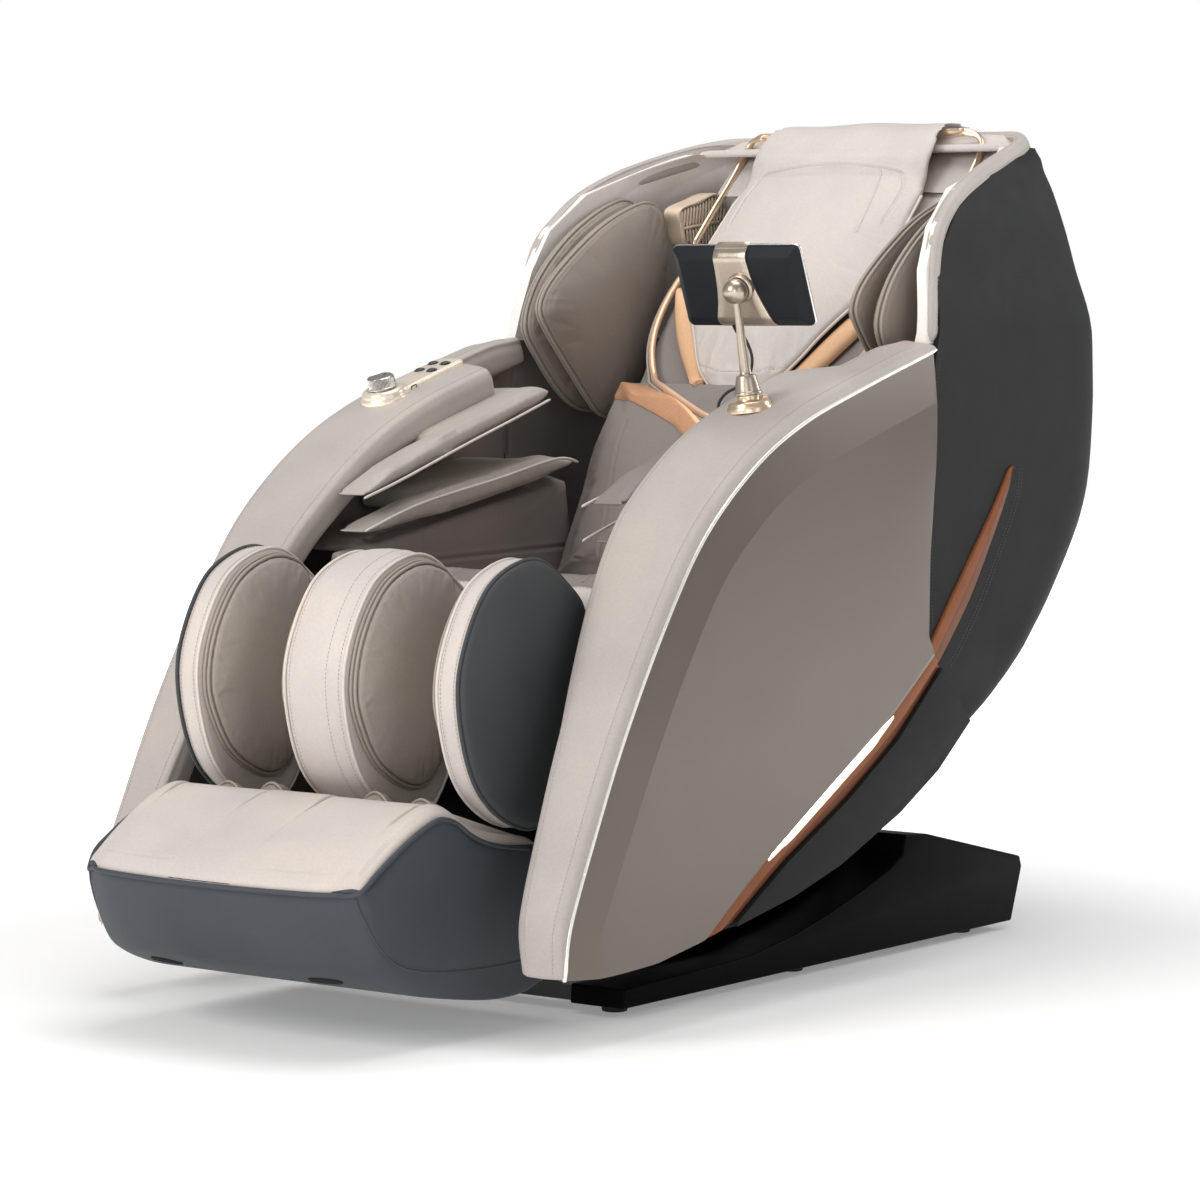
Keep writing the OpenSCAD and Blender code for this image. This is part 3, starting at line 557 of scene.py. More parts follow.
BEIGE, TAUPE = (0.60, 0.545, 0.51), (0.235, 0.20, 0.172)
beige = leather("beige leather", BEIGE)
beige_light = leather("beige piping leather", (0.66, 0.60, 0.55), grain=0.25)
taupe = leather("taupe leather", tint(TAUPE, 1.18), rough=(0.34, 0.5), vary=0.09)
# taupe made lighter as painted light, for the calf pads, their backs and the channel backs
calf_taupe_painted_light = leather("calf pad leather with painted light", (0.36, 0.317, 0.279), rough=(0.34, 0.5), vary=0.08)
# taupe made lighter as painted light, for the arm flaps
flap_taupe_painted_light = leather("arm flap leather with painted light", (0.45, 0.405, 0.37), rough=(0.38, 0.52))
# beige made lighter as painted light, for the hood lining
hood_beige_painted_light = leather("hood lining leather with painted light", (0.84, 0.79, 0.755), rough=(0.45, 0.6))
taupe_mid = leather("taupe back leather", (0.232, 0.204, 0.192), rough=(0.4, 0.55))
taupe_piping = leather("taupe piping leather", (0.33, 0.29, 0.25), grain=0.2)
charcoal_soft = leather("charcoal leather", (0.052, 0.055, 0.059), grain=0.4, rough=(0.5, 0.62), vary=0.12,
                        warm=(1, 1, 1), spec=0.3)
foot_soft = leather("blue-grey leather", (0.058, 0.065, 0.076), grain=0.4, rough=(0.46, 0.6), vary=0.1,
                    warm=(1, 1, 1), spec=0.2)
charcoal_shell = leather("charcoal shell covering", (0.021, 0.0214, 0.0218), grain=0.3, rough=(0.5, 0.64), vary=0.1,
                         warm=(1, 1, 1), spec=0.12)
champagne = paint("champagne lacquer", (0.168, 0.138, 0.114), coat=0.12)
copper = metal("copper strip", (0.235, 0.078, 0.030), rough=(0.34, 0.46), axis=(1, 0.15, 0.15), metallic=0.35,
               spec=0.15)
# copper made darker as painted shade, for the lower facet of each strip
copper_painted_shade = metal("copper strip with painted shade", (0.15, 0.050, 0.021), rough=(0.34, 0.46), axis=(1, 0.15, 0.15),
                    metallic=0.35, spec=0.15)
# beige made darker as painted shade, for the arm bands, the hood rim and its piping, and the hood's back panel
beige_painted_shade = leather("beige leather with painted shade", tint(BEIGE, 0.76))
rose = metal("rose gold piping", (0.80, 0.52, 0.36), rough=(0.24, 0.36), metallic=0.4, line=0.05)
grille = plastic("speaker grille", (0.62, 0.50, 0.385), rough=(0.28, 0.38), grain=0.04)
gold = metal("champagne gold", (0.80, 0.62, 0.45), rough=(0.24, 0.36), metallic=0.85, line=0.15)
gold_leather = leather("gold leather", (0.74, 0.46, 0.27), grain=0.2, rough=(0.28, 0.4))
silver = metal("satin silver", (0.78, 0.76, 0.72), rough=(0.18, 0.3), line=0.2)
trim_cream = metal("cream trim", (0.90, 0.87, 0.80), rough=(0.2, 0.3), metallic=0.5, line=0.1)
steel = paint("black painted steel", (0.03, 0.03, 0.032), metallic=0.1, rough=(0.38, 0.5))
zinc = metal("zinc plated steel", (0.55, 0.56, 0.58), rough=(0.3, 0.45), axis=(1, 6, 1))
gloss_black = plastic("gloss black", (0.0028, 0.0028, 0.003), rough=(0.34, 0.46), grain=0.05, spec=0.03)
pale_gold = metal("pale champagne gold", (0.90, 0.79, 0.66), rough=(0.26, 0.36), metallic=0.45, line=0.12)
brushed_gold = metal("brushed champagne", (0.52, 0.44, 0.36), rough=(0.24, 0.36), metallic=0.85, line=0.15)
matte_black = plastic("matte black", (0.014, 0.014, 0.015), rough=(0.5, 0.65), spec=0.2)
button_black = plastic("button black", (0.012, 0.014, 0.022), rough=(0.1, 0.2), grain=0.03, coat=0.6)
tablet_black = plastic("tablet back", (0.012, 0.013, 0.016), rough=(0.4, 0.5), grain=0.2, spec=0.15)
screen_black = plastic("screen glass", (0.004, 0.004, 0.005), rough=(0.04, 0.1), grain=0.0, coat=1.0)
rubber = plastic("black rubber", (0.016, 0.016, 0.016), rough=(0.7, 0.85), grain=0.3)
cable_black = plastic("cable jacket", (0.01, 0.01, 0.01), rough=(0.45, 0.6), grain=0.25)
cream_plastic = plastic("cream roller plastic", (0.62, 0.56, 0.48), rough=(0.35, 0.5))
thread_light = thread("light thread", (0.72, 0.68, 0.63))
thread_dark = thread("dark thread", (0.10, 0.095, 0.09))
thread_taupe = thread("taupe thread", (0.42, 0.37, 0.32))


def glow(name, color, power):
    m = Mat(name)
    n = m.noise(160, 2)
    return m.set(Base_Color=color, Roughness=m.remap(n, 0.4, 0.5),
                 Emission_Color=m.ramp(n, [(0.3, tint(color, 0.97)), (0.7, color)]),
                 Emission_Strength=power)


led_core = glow("lit strip", (1.0, 0.95, 0.86), 3.5)

# CAD pieces whose shape stays take their finish here
for names, mat in (
    (("base_frame", "carriage_frame", "seat_frame", "back_frame", "legrest_frame", "tilt_actuator"), steel),
    (("slide_rails",), zinc), (("recline_actuator", "electronics_box", "massage_carriage"), matte_black),
    (("base_feet",), rubber), (("power_inlet", "power_switch"), matte_black),
    (("massage_rollers", "foot_rollers"), cream_plastic), (("base_cover",), gloss_black),
    (("side_panel_left", "side_panel_right"), champagne), (("armrest_left", "armrest_right"), beige),
    (("trim_strips",), trim_cream), (("light_strips", "shell_light_strips", "back_band"), copper),
    (("led_bars",), led_core), (("lower_shell", "rear_shell"), charcoal_shell),
    (("inner_wall_left", "inner_wall_right", "arm_airbags_left", "arm_airbags_right", "calf_pads", "foot_pads",
      "shoulder_airbags_left", "shoulder_airbags_right"), taupe), (("back_cushion",), taupe_mid),
    (("seat_cushion", "head_pillow", "hood", "calf_divider", "footrest_cover"), beige),
    (("calf_wall_left", "calf_wall_right"), charcoal_soft), (("footrest_shell",), foot_soft),
    (("foot_vents",), matte_black),
    (("controller_pod", "tablet_flange", "tablet_mast", "tablet_clamp", "speakers", "head_trim"), gold),
    (("control_dial",), silver), (("button_1", "button_2", "button_3", "button_4"), button_black),
    (("tablet_housing",), tablet_black), (("tablet_screen",), screen_black), (("tablet_cable",), cable_black),
):
    for n in names:
        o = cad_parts[n]
        o.data.materials.clear()
        o.data.materials.append(mat)


# ---------------------------------------------------------------- the tablet's lead
CABLE = [(262, -38, 889), (269, -36, 881), (277, -33.5, 869), (282, -31.5, 852), (280, -30.5, 835), (271, -30.5, 821),
         (257, -32.5, 811),
         (244, -36, 804), (235, -40, 792), (235, -44, 778), (239, -47, 769), (244, -48, 766)]


def lead():
    path = curve(CABLE, 4)
    bag = Bag()
    bag.tube(path, 2.0, sides=14, taper=False)
    o = bag.make("tablet_lead", cable_black)
    long = sum((Vector(a) - Vector(b)).length for a, b in zip(path, path[1:])) * 1e-3
    top, end = Vector(CABLE[0]) * 1e-3, Vector(CABLE[-1]) * 1e-3
    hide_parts("tablet_cable")
    tuple(top)
    [tuple(Vector(p) * 1e-3) for p in path]
    tuple(top)
    tuple(end)
    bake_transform(o)
    relief = Bag()
    route = resample([(262, -40.5, 895), (262, -38, 889), (265.5, -37, 885), (269, -36, 881), (272.6, -34.9, 876),
                      (275.6, -34, 871)], 29)
    relief.tube(route, [5.2 - 2.6 * (i / 28) ** 0.8 - (0.55 if i % 4 == 2 and 5 < i < 26 else 0) for i in range(29)],
                sides=18, taper=False)
    piece(relief.make("tablet_lead_relief", cable_black, sharp=60), "tablet")


lead()


# ---------------------------------------------------------------- side panels, trims and strips
PANEL_EDGE = [(-588, 92), (-579, 155), (-530, 261), (-467, 381), (-383, 513), (-296, 623),
              (-184, 709), (-69, 764), (75, 808), (256, 857)]
SEAM = [(255, 845), (249, 722), (236, 570), (236, 460)]
STRIP_FRONT = [(252, 438), (151, 367), (15, 293), (-150, 202), (-297, 108)]
STRIP_REAR = [(-219, 122), (-103, 188), (40, 256), (164, 327), (278, 418)]
EDGE = resample(curve(PANEL_EDGE, 8), 97)


def panels():
    n = len(EDGE)
    crease = beside(EDGE, [-66.0 + 8 * smooth((n * 0.25 - i) / (n * 0.25)) for i in range(n)])
    crease = [(y, max(z, 90)) for y, z in crease]
    crease[-1], crease[-2] = (251, 786), (246, 784)
    crease[0] = (-526, 88)
    far = resample([(-440, 90)] + [(-403, 91)] + STRIP_FRONT[::-1] + SEAM[::-1][0:1] + [(236, 500), (236, 570),
            (243, 650)], n)
    rows = []
    ts = [0.0, 0.08, 0.2, 0.35, 0.5, 0.66, 0.82, 0.93, 0.985, 1.0]
    for i in range(n):
        a, c, f = Vector(EDGE[i]), Vector(crease[i]), Vector(far[i])
        d = (c - a).length
        row = [(380, *a), (386.0, *a), (387.4, *(a.lerp(c, 1.2 / d)))]
        for t in (0.25, 0.5, 0.75, 0.96, 1.0):
            row.append((387.4 + 9.6 * t, *a.lerp(c, t)))
        for t in ts[1:]:
            bulge = 2.0 * math.sin(math.pi * min(t, 1)) - (1.6 if t > 0.99 else 0)
            row.append((397.2 + bulge, *c.lerp(f, t)))
        row.append((380, *f))
        rows.append(row)
    v, f = grid(rows)
    # close the two ends and the back
    C = len(rows[0])
    for r in (0, n - 1):
        f.append([r * C + c for c in range(C)] if r else [r * C + c for c in range(C)][::-1])
    f += [(r * C, (r + 1) * C, (r + 1) * C + C - 1, r * C + C - 1) for r in range(n - 1)]
    for k, side in SIDES:
        o = build(f"side_panel_{side}_skin", [(x * k, y, z) for x, y, z in v], f, champagne, sharp=5.5)
        piece(o, "seat", (f"side_panel_{side}",))


panels()


def trims():
    """Bright trim that follows each panel's front edge, and the two-facet light strip below it."""
    bag = Bag()
    path = [(391.5, y, z) for y, z in beside(EDGE, 2.9)]
    for k in (1, -1):
        bag.tube([(x * k, y, z) for x, y, z in path], 3.1, sides=12, up=(k, 0, 0), flat=1.45)
    piece(bag.make("panel_trims", trim_cream), "seat", ("trim_strips",))
    n = 60
    front, rear = resample(curve(STRIP_FRONT[::-1], 8), n), resample(curve(STRIP_REAR, 8), n)
    rows = []
    for i in range(n):
        a, b = Vector(front[i]), Vector(rear[i])
        rows.append([(381, *a), (390.0, *a.lerp(b, 0.01)), (392.2, *a.lerp(b, 0.06)), (392.9, *a.lerp(b, 0.3)),
                     (391.6, *a.lerp(b, 0.56)),
                     (387.2, *a.lerp(b, 0.66)), (386.2, *a.lerp(b, 0.92)), (384.4, *a.lerp(b, 1.0)), (381, *b)])
    v, f = grid(rows, closed_cols=True, cap=True)
    C = len(rows[0])
    # faces of the strip's lower facet, which take the darker copper as painted shade
    dark = [1 if (i % C) in (4, 5, 6) and i < (n - 1) * C else 0 for i in range(len(f))]
    for k, side in SIDES:
        o = build(f"light_strip_{side}", [(x * k, y, z) for x, y, z in v], f, [copper, copper_painted_shade], dark, sharp=18)
        piece(o, "seat", ("light_strips",) if k > 0 else ())
    # the lit bar in the strip: a bright core on a flat, warmer band of painted glow
    q = [i / (n - 1) for i in range(n)]
    bag, halo = Bag(), Bag()
    sel = [i for i in range(n) if 0.245 <= q[i] <= 0.80]
    line = [Vector(front[i]).lerp(Vector(rear[i]), 0.13) for i in sel]
    m = len(line)

    def tapered(full, tip):
        return [full * min(1, tip + 4 * min(i, m - 1 - i) / m) for i in range(m)]

    for k in (1, -1):
        bag.tube([(393.0 * k, p.x, p.y) for p in line], tapered(3.6, 0.35), sides=10, up=(k, 0, 0), flat=0.35)
        halo.tube([(392.6 * k, p.x + 1.0, p.y - 1.2) for p in line], tapered(8.5, 0.3), sides=10, up=(k, 0, 0),
                  flat=0.08)
    piece(bag.make("led_cores", led_core), "seat", ("led_bars",))
    piece(halo.make("led_painted_glow_band", led_glow_paint), "seat")
    # seam where the strip passes from the seat's side to the shell
    groove_bag = Bag()
    for k in (1, -1):
        groove_bag.tube([(381.5 * k, y, z) for y, z in curve(SEAM, 8)], 1.7, sides=6, up=(k, 0, 0))
    piece(groove_bag.make("panel_rear_gaskets", rubber), "seat")


# the glowing band beside the lit bar: painted light, not a lamp
led_glow_paint = glow("painted LED glow", (1.0, 0.80, 0.62), 0.75)
trims()


# ---------------------------------------------------------------- arm bands
def arm_band():
    """Padded leather band over the panel's edge: flat crown, rolled sides, sewn welts."""
    n = 121
    edge = resample(curve(PANEL_EDGE, 8) + [(262, 858.5)], n)
    inner = [(90, 330), (200, 318), (380, 300), (520, 270), (640, 249), (720, 246), (900, 245)]
    rows, seams = [], [[], [], []]
    for i, (y, z) in enumerate(edge):
        a, b = Vector(edge[max(i - 1, 0)]), Vector(edge[min(i + 1, n - 1)])
        t = (b - a).normalized()
        nx = Vector((-t.y, t.x))
        xi = table(z, inner)
        if z > 640:
            xi += (330 - xi) * smooth((y - 84) / 18)
        top = smooth((z - 600) / 120)
        tail = smooth((i - (n - 9)) / 8)
        toe = smooth((7 - i) / 7)
        h = 22.5 - 9 * tail - 10 * toe
        pts = [(393.6, 0.2), (394.0, 4), (393.2, 9 * h / 23), (390, 15 * h / 23), (384, 19.3 * h / 23),
               (374, 22 * h / 23), (356, h + 0.6)]
        w = 356 - xi
        for s in (0.2, 0.4, 0.6, 0.8):
            pts.append((356 - w * s * 0.86, h + 0.6 + 1.8 * math.sin(math.pi * (s * 0.8))))
        pts += [(xi + w * 0.06, h - 1.2), (xi + 4.5, h - 5.5), (xi + 1.2, h - 12), (xi + 0.3, h - 20)]
        deep = -18 - 4 * top
        pts += [(xi + 0.8, h - 30), (xi + 1.5, deep)]
        pts += [(xi + 14, deep - 3), (330, deep - 2), (376, deep + 2), (378.6, -14), (378.8, -2), (386, -0.4)]
        rows.append([(x, y + nx.x * o, z + nx.y * o) for x, o in pts])
        seams[0].append((388, y + nx.x * 18 * h / 23, z + nx.y * 18 * h / 23))
        seams[1].append((xi + 15, y + nx.x * (h + 0.2), z + nx.y * (h + 0.2)))
        seams[2].append((xi + 2, y + nx.x * (h - 14), z + nx.y * (h - 14)))
    v, f = grid(rows, closed_cols=True, cap=True)
    return v, f, seams


band_v, band_f, band_seams = arm_band()
band_obj, band_tree = {}, {}
for side, k in (("left", 1), ("right", -1)):
    # the bands take the darker beige, painted shade
    o = build(f"arm_band_{side}", [(x * k, y, z) for x, y, z in band_v], band_f, beige_painted_shade, sharp=60)
    s = o.modifiers.new("sub", "SUBSURF")
    s.levels = 1
    dg = bpy.context.evaluated_depsgraph_get()
    dg.update()
    me = bpy.data.meshes.new_from_object(o.evaluated_get(dg))
    o.modifiers.clear()
    o.data = me
    lines = [[(x * k, y, z) for x, y, z in resample(line, 400)] for line in band_seams]
    groove(o, [lines[0][:392]], width=1.8, depth=1.5, welt=0.7)
    groove(o, [lines[2][60:392]], width=1.8, depth=1.3, welt=0.6)
    shade(o, 60)
    piece(o, "seat", (f"armrest_{side}",))
    band_obj[side], band_tree[side] = o, surface(o)
band_thread = Bag()
for side, k in (("left", 1), ("right", -1)):
    for line, off in ((band_seams[0], None), (band_seams[1], None)):
        p = [(x * k, y, z) for x, y, z in resample(line, 260)][:250]
        if line is band_seams[0]:
            p = [(x - 8.5 * k, y, z) for x, y, z in p]
        pts, ns = onto(band_tree[side], p)
        band_thread.stitches(pts, ns, pitch=5.5, length=3.7, r=0.42)
piece(band_thread.make("arm_band_stitches", thread_taupe), "seat")


# ---------------------------------------------------------------- leg rest
CALF = [(-437, 262), (-500, 268), (-560, 310), (-592, 370), (-604, 446), (-585, 510), (-545, 567), (-488, 595),
        (-436, 597), (-385, 567), (-345, 525), (-352, 450), (-385, 330)]
CALF_PAD = [(-470, 300), (-545, 335), (-586, 400), (-592, 450), (-574, 508), (-535, 560), (-484, 585), (-438, 586),
            (-398, 560), (-390, 470), (-420, 340)]
calf_line = resample(ring(CALF, 8), 150, closed=True)
pad_line = resample(ring(CALF_PAD, 8), 130, closed=True)
CC = (-470, 440)


def inset(line, d, c=CC):
    out = []
    for p in line:
        v = Vector(p) - Vector(c)
        out.append(tuple(Vector(c) + v.normalized() * (v.length - d)))
    return out


def calf_walls():
    rows = [(10, 0.9, 199), (10, 0.5, 199), (10, 0, 199), (4, 0, 199.4), (1.5, 0, 201), (0.5, 0, 204), (-0.8, 0, 212),
            (-1.2, 0, 219), (-0.8, 0, 226),
            (0.3, 0, 232), (1.6, 0, 234.4), (1.0, 0, 235.4), (0.4, 0, 238.5), (2.0, 0, 241), (5.5, 0, 243.2),
            (12, 0, 245), (22, 0, 246.4),
            (22, 0.2, 248), (22, 0.45, 249), (22, 0.7, 249.5), (22, 0.9, 249.7)]
    v, f = disc(calf_line, rows, centre=CC)
    n = len(calf_line)
    which = [0 if i // n < 10 else 1 for i in range((len(rows) - 1) * n)] + [0] * n + [1] * n
    for k, side in SIDES:
        o = build(f"calf_wall_{side}_cover", [(x * k, y, z) for x, y, z in v], f, [beige, charcoal_soft], which,
                  sharp=60)
        for p in o.data.vertices:
            q = p.co * 1e3
            if abs(q.x) > 240:
                p.co.x += 0.0012 * noise.noise(Vector((q.y * 0.012, q.z * 0.012, 3.0 * k))) * k
        piece(o, "legrest", (f"calf_wall_{side}",))


def copy_of(obj, name, fn, flip):
    me = obj.data.copy()
    for v in me.vertices:
        v.co = Vector(fn(*v.co))
    if flip:
        me.flip_normals()
    o = bpy.data.objects.new(name, me)
    scene.collection.objects.link(o)
    return o


def calf_parts():
    # divider between the calves
    cols = [(-51, 9), (-50.4, 4), (-49, 1.2), (-46, 0), (-36, -2.6), (-22, -5), (0, -6.2), (22, -5), (36, -2.6),
            (46, 0), (49, 1.2), (50.4, 4), (51, 9)]
    rows = [(9, 0.9, -51), (9, 0.45, -51)] + [(i, 0, x) for x, i in cols] + [(9, 0.45, 51), (9, 0.9, 51)]
    fine = []
    for (a, t, x), (b, u, y) in zip(rows, rows[1:]):
        m = 3 if abs(y - x) > 8 else 1
        fine += [(a + (b - a) * s / m, t + (u - t) * s / m, x + (y - x) * s / m) for s in range(m)]
    v, f = disc(calf_line, fine + [rows[-1]], centre=CC)
    o = build("calf_divider_cover", v, f, beige, sharp=60)
    out = inset(calf_line, -5)
    groove(o, [[(19, *p) for p in out + out[:1]]], width=1.6, depth=1.3, welt=0.4)
    piece(o, "legrest", ("calf_divider",))
    div_tree = surface(o)
    # one airbag pad, blown up once and set in its four places
    rows = [(3, 0.9, 57.5), (3, 0.4, 57.5), (3, 0, 57.5), (1, 0, 58.5), (0.4, 0, 60.5), (2.2, 0, 65), (6.5, 0, 70),
            (14, 0, 73.6), (14, 0.3, 75),
            (14, 0.6, 76), (14, 0.9, 76.4)]
    v, f = disc(pad_line, rows, centre=(-487, 450))
    # the pad takes the lighter taupe, painted light
    pad = build("calf_pad", v, f, calf_taupe_painted_light, sharp=80)
    soften(pad, voxel=4.5, pressure=4.2, cap=9, pins=[[(60, *p) for p in resample(pad_line, 260, True)]], pin_r=6.5,
           keep=lambda x, y, z: x < 58.2)
    groove(pad, [[(67.5, *p) for p in inset(pad_line, 4.0, (-487, 450)) + inset(pad_line, 4.0, (-487, 450))[:1]]],
           1.5, 0.8, 0.3)
    spots = {"divider_left": (lambda x, y, z: (x, y, z), False), "divider_right": (lambda x, y, z: (-x, y, z), True),
             "wall_left": (lambda x, y, z: (0.25 - x, y, z), True),
             "wall_right": (lambda x, y, z: (x - 0.25, y, z), False)}
    pipes, backs, threads, dark = Bag(), Bag(), Bag(), Bag()
    for i, (name, (fn, flip)) in enumerate(spots.items()):
        o = copy_of(pad, f"calf_pad_{name}", fn, flip)
        piece(o, "legrest", ("calf_pads",) if i == 0 else ())
        put = lambda p: tuple(1e3 * c for c in fn(*(q * 1e-3 for q in p)))
        pipes.tube([put((60.2, *p)) for p in inset(pad_line, -1.2, (-487, 450))], 2.5, sides=8, closed=True)
        pipes.tube([put((54.8, *p)) for p in inset(pad_line, -3.5, (-487, 450))], 2.3, sides=8, closed=True)
        v, f = disc(inset(pad_line, -2.6, (-487, 450)), [(3, 0.9, 52.6), (3, 0, 52.6), (0, 0, 53.4), (-0.6, 0, 55),
                                                         (0.5, 0, 57.0), (6, 0, 58.0), (6, 0.9, 58.0)],
                    centre=(-487, 450))
        backs.add([put(p) for p in v], f)
    piece(backs.make("calf_pad_backs", calf_taupe_painted_light), "legrest")
    piece(pipes.make("calf_pad_piping", taupe_piping), "legrest")
    bpy.data.objects.remove(pad)
    # piping and stitches of the walls and the divider
    pipes = Bag()
    for k in (1, -1):
        dark.tube([(235.6 * k, *p) for p in inset(calf_line, -1.0)], 2.7, sides=8, closed=True)
        pipes.tube([(201.5 * k, *p) for p in inset(calf_line, 0.2)], 2.1, sides=8, closed=True)
        pipes.tube([(49.6 * k, *p) for p in inset(calf_line, -0.6)], 2.2, sides=8, closed=True)
        for x, d in ((207.5, -0.6), (229, -0.9)):
            line = [(x * k, *p) for p in inset(calf_line, d)]
            ns = [(0, *(Vector(p) - Vector(CC)).normalized()) for p in calf_line]
            threads.stitches(line[8:120], ns[8:120], pitch=5.5, length=3.6, r=0.4, lift=0.35)
        line, ns = onto(div_tree, [(41.5 * k, *p) for p in inset(calf_line, -2)][8:120])
        threads.stitches(line, ns, pitch=5.5, length=3.6, r=0.4)
    line, ns = onto(div_tree, [(23, *p) for p in inset(calf_line, -5)][8:120])
    threads.stitches(line, ns, pitch=5.5, length=3.6, r=0.4)
    piece(dark.make("calf_wall_piping", charcoal_soft), "legrest")
    piece(pipes.make("calf_band_piping", beige_light), "legrest")
    piece(threads.make("calf_stitches", thread_taupe), "legrest")
    # padded back of each channel
    for k, side in SIDES:
        rows = []
        for i in range(25):
            t = i / 24
            y, z = -385 - 47 * t, 506 - 176 * t
            row = []
            for j in range(15):
                s = j / 14
                x = 79 + (171 - 79) * s
                b = 7 * math.sin(math.pi * s) ** 0.6 * math.sin(math.pi * min(max(t, 0.02), 0.98)) ** 0.5
                b -= 1.8 * math.exp(-((t - 0.5) / 0.02) ** 2)
                row.append((x * k, y - b, z + b * 0.2))
            row += [((171 - 92 * j / 4) * k, y + 9, z - 1) for j in range(5)]
            rows.append(row)
        v, f = grid(rows, closed_cols=True, cap=True)
        piece(build(f"calf_back_pad_{side}", v, f, calf_taupe_painted_light, sharp=60), "legrest")


calf_walls()
calf_parts()


# ---------------------------------------------------------------- foot rest
FOOT_TOP = [(-800, 212), (-770, 232), (-720, 262), (-667, 286), (-620, 294), (-560, 262), (-500, 246), (-424, 236)]
FOOT_UNDER = [(-400, 236), (-376, 200), (-372, 100), (-420, 52), (-500, 40), (-630, 58), (-700, 76), (-752, 100),
              (-775, 130), (-790, 168), (-800, 200)]


def bow(x, y):
    """How far the front stands forward at x."""
    w = smooth((-640 - y) / 150)
    return -27 * w * (1 - min(abs(x) / 215, 1) ** 2.2) + 10 * w * smooth((abs(x) - 170) / 64)


def foot_body(name, mat, lo=0.0):
    top, under = resample(curve(FOOT_TOP, 8), 44), resample(curve(FOOT_UNDER, 6), 60)
    loop = top + under[1:-1]
    c = Vector((-590, 165))
    rows = []
    xs = [234.5, 233.6, 231.5, 228, 223, 216, 206, 190, 170, 150, 130, 110, 90, 70, 50, 30, 10]
    xs = [-x for x in xs] + xs[::-1]
    for x in xs:
        e = 22 * (1 - math.sqrt(max(1 - (max(abs(x) - 212.5, 0) / 22) ** 2, 0)))
        row = []
        for y, z in loop:
            v = Vector((y, z)) - c
            q = c + v.normalized() * (v.length - e - lo)
            row.append((x, q.x + bow(x, q.x), q.y))
        rows.append(row)
    v, f = grid(rows, closed_cols=True)
    n = len(loop)
    for r, sign in ((0, -1), (len(rows) - 1, 1)):
        # side face: rings drawn in to the centre
        ringpts = rows[r]
        prev = [r * n + i for i in range(n)]
        for t, bulge in ((0.12, 0.8), (0.35, 1.6), (0.65, 2.0), (0.9, 2.2)):
            base = len(v)
            for x, y, z in ringpts:
                v.append((x + sign * bulge, y + (c.x - y) * t, z + (c.y - z) * t))
            cur = [base + i for i in range(n)]
            f += [(prev[i], prev[(i + 1) % n], cur[(i + 1) % n], cur[i]) for i in range(n)]
            prev = cur
        f.append(prev)
    return build(name, v, f, mat, sharp=55)


def well_cutter(name, k, grow=0.0):
    """The foot well as a solid to cut away."""
    levels = [(340, -604, -392), (300, -602, -400), (262, -600, -408), (225, -596, -412), (190, -590, -416),
              (165, -572, -424), (152, -548, -440), (146, -520, -462)]
    rows = []
    for z, y0, y1 in levels:
        x0, x1 = 58 + (8 if z < 160 else 0), 192 - (8 if z < 160 else 0)
        cx, cy, rx, ry = (x0 + x1) / 2, (y0 + y1) / 2, (x1 - x0) / 2 + grow, (y1 - y0) / 2 + grow
        row = []
        for i in range(56):
            a = 2 * math.pi * i / 56
            ca, sa = math.cos(a), math.sin(a)
            p = 2 / 4.5
            row.append(((cx + rx * math.copysign(abs(ca) ** p, ca)) * k, cy + ry * math.copysign(abs(sa) ** p, sa),
                        z))
        rows.append(row)
    v, f = grid(rows, closed_cols=True, cap=True)
    return build(name, v, f, taupe, sharp=60)


def cut(obj, cutters):
    for c in cutters:
        m = obj.modifiers.new("cut", "BOOLEAN")
        m.operation, m.object, m.solver = "DIFFERENCE", c, "EXACT"
    dg = bpy.context.evaluated_depsgraph_get()
    dg.update()
    me = bpy.data.meshes.new_from_object(obj.evaluated_get(dg))
    obj.modifiers.clear()
    obj.data = me


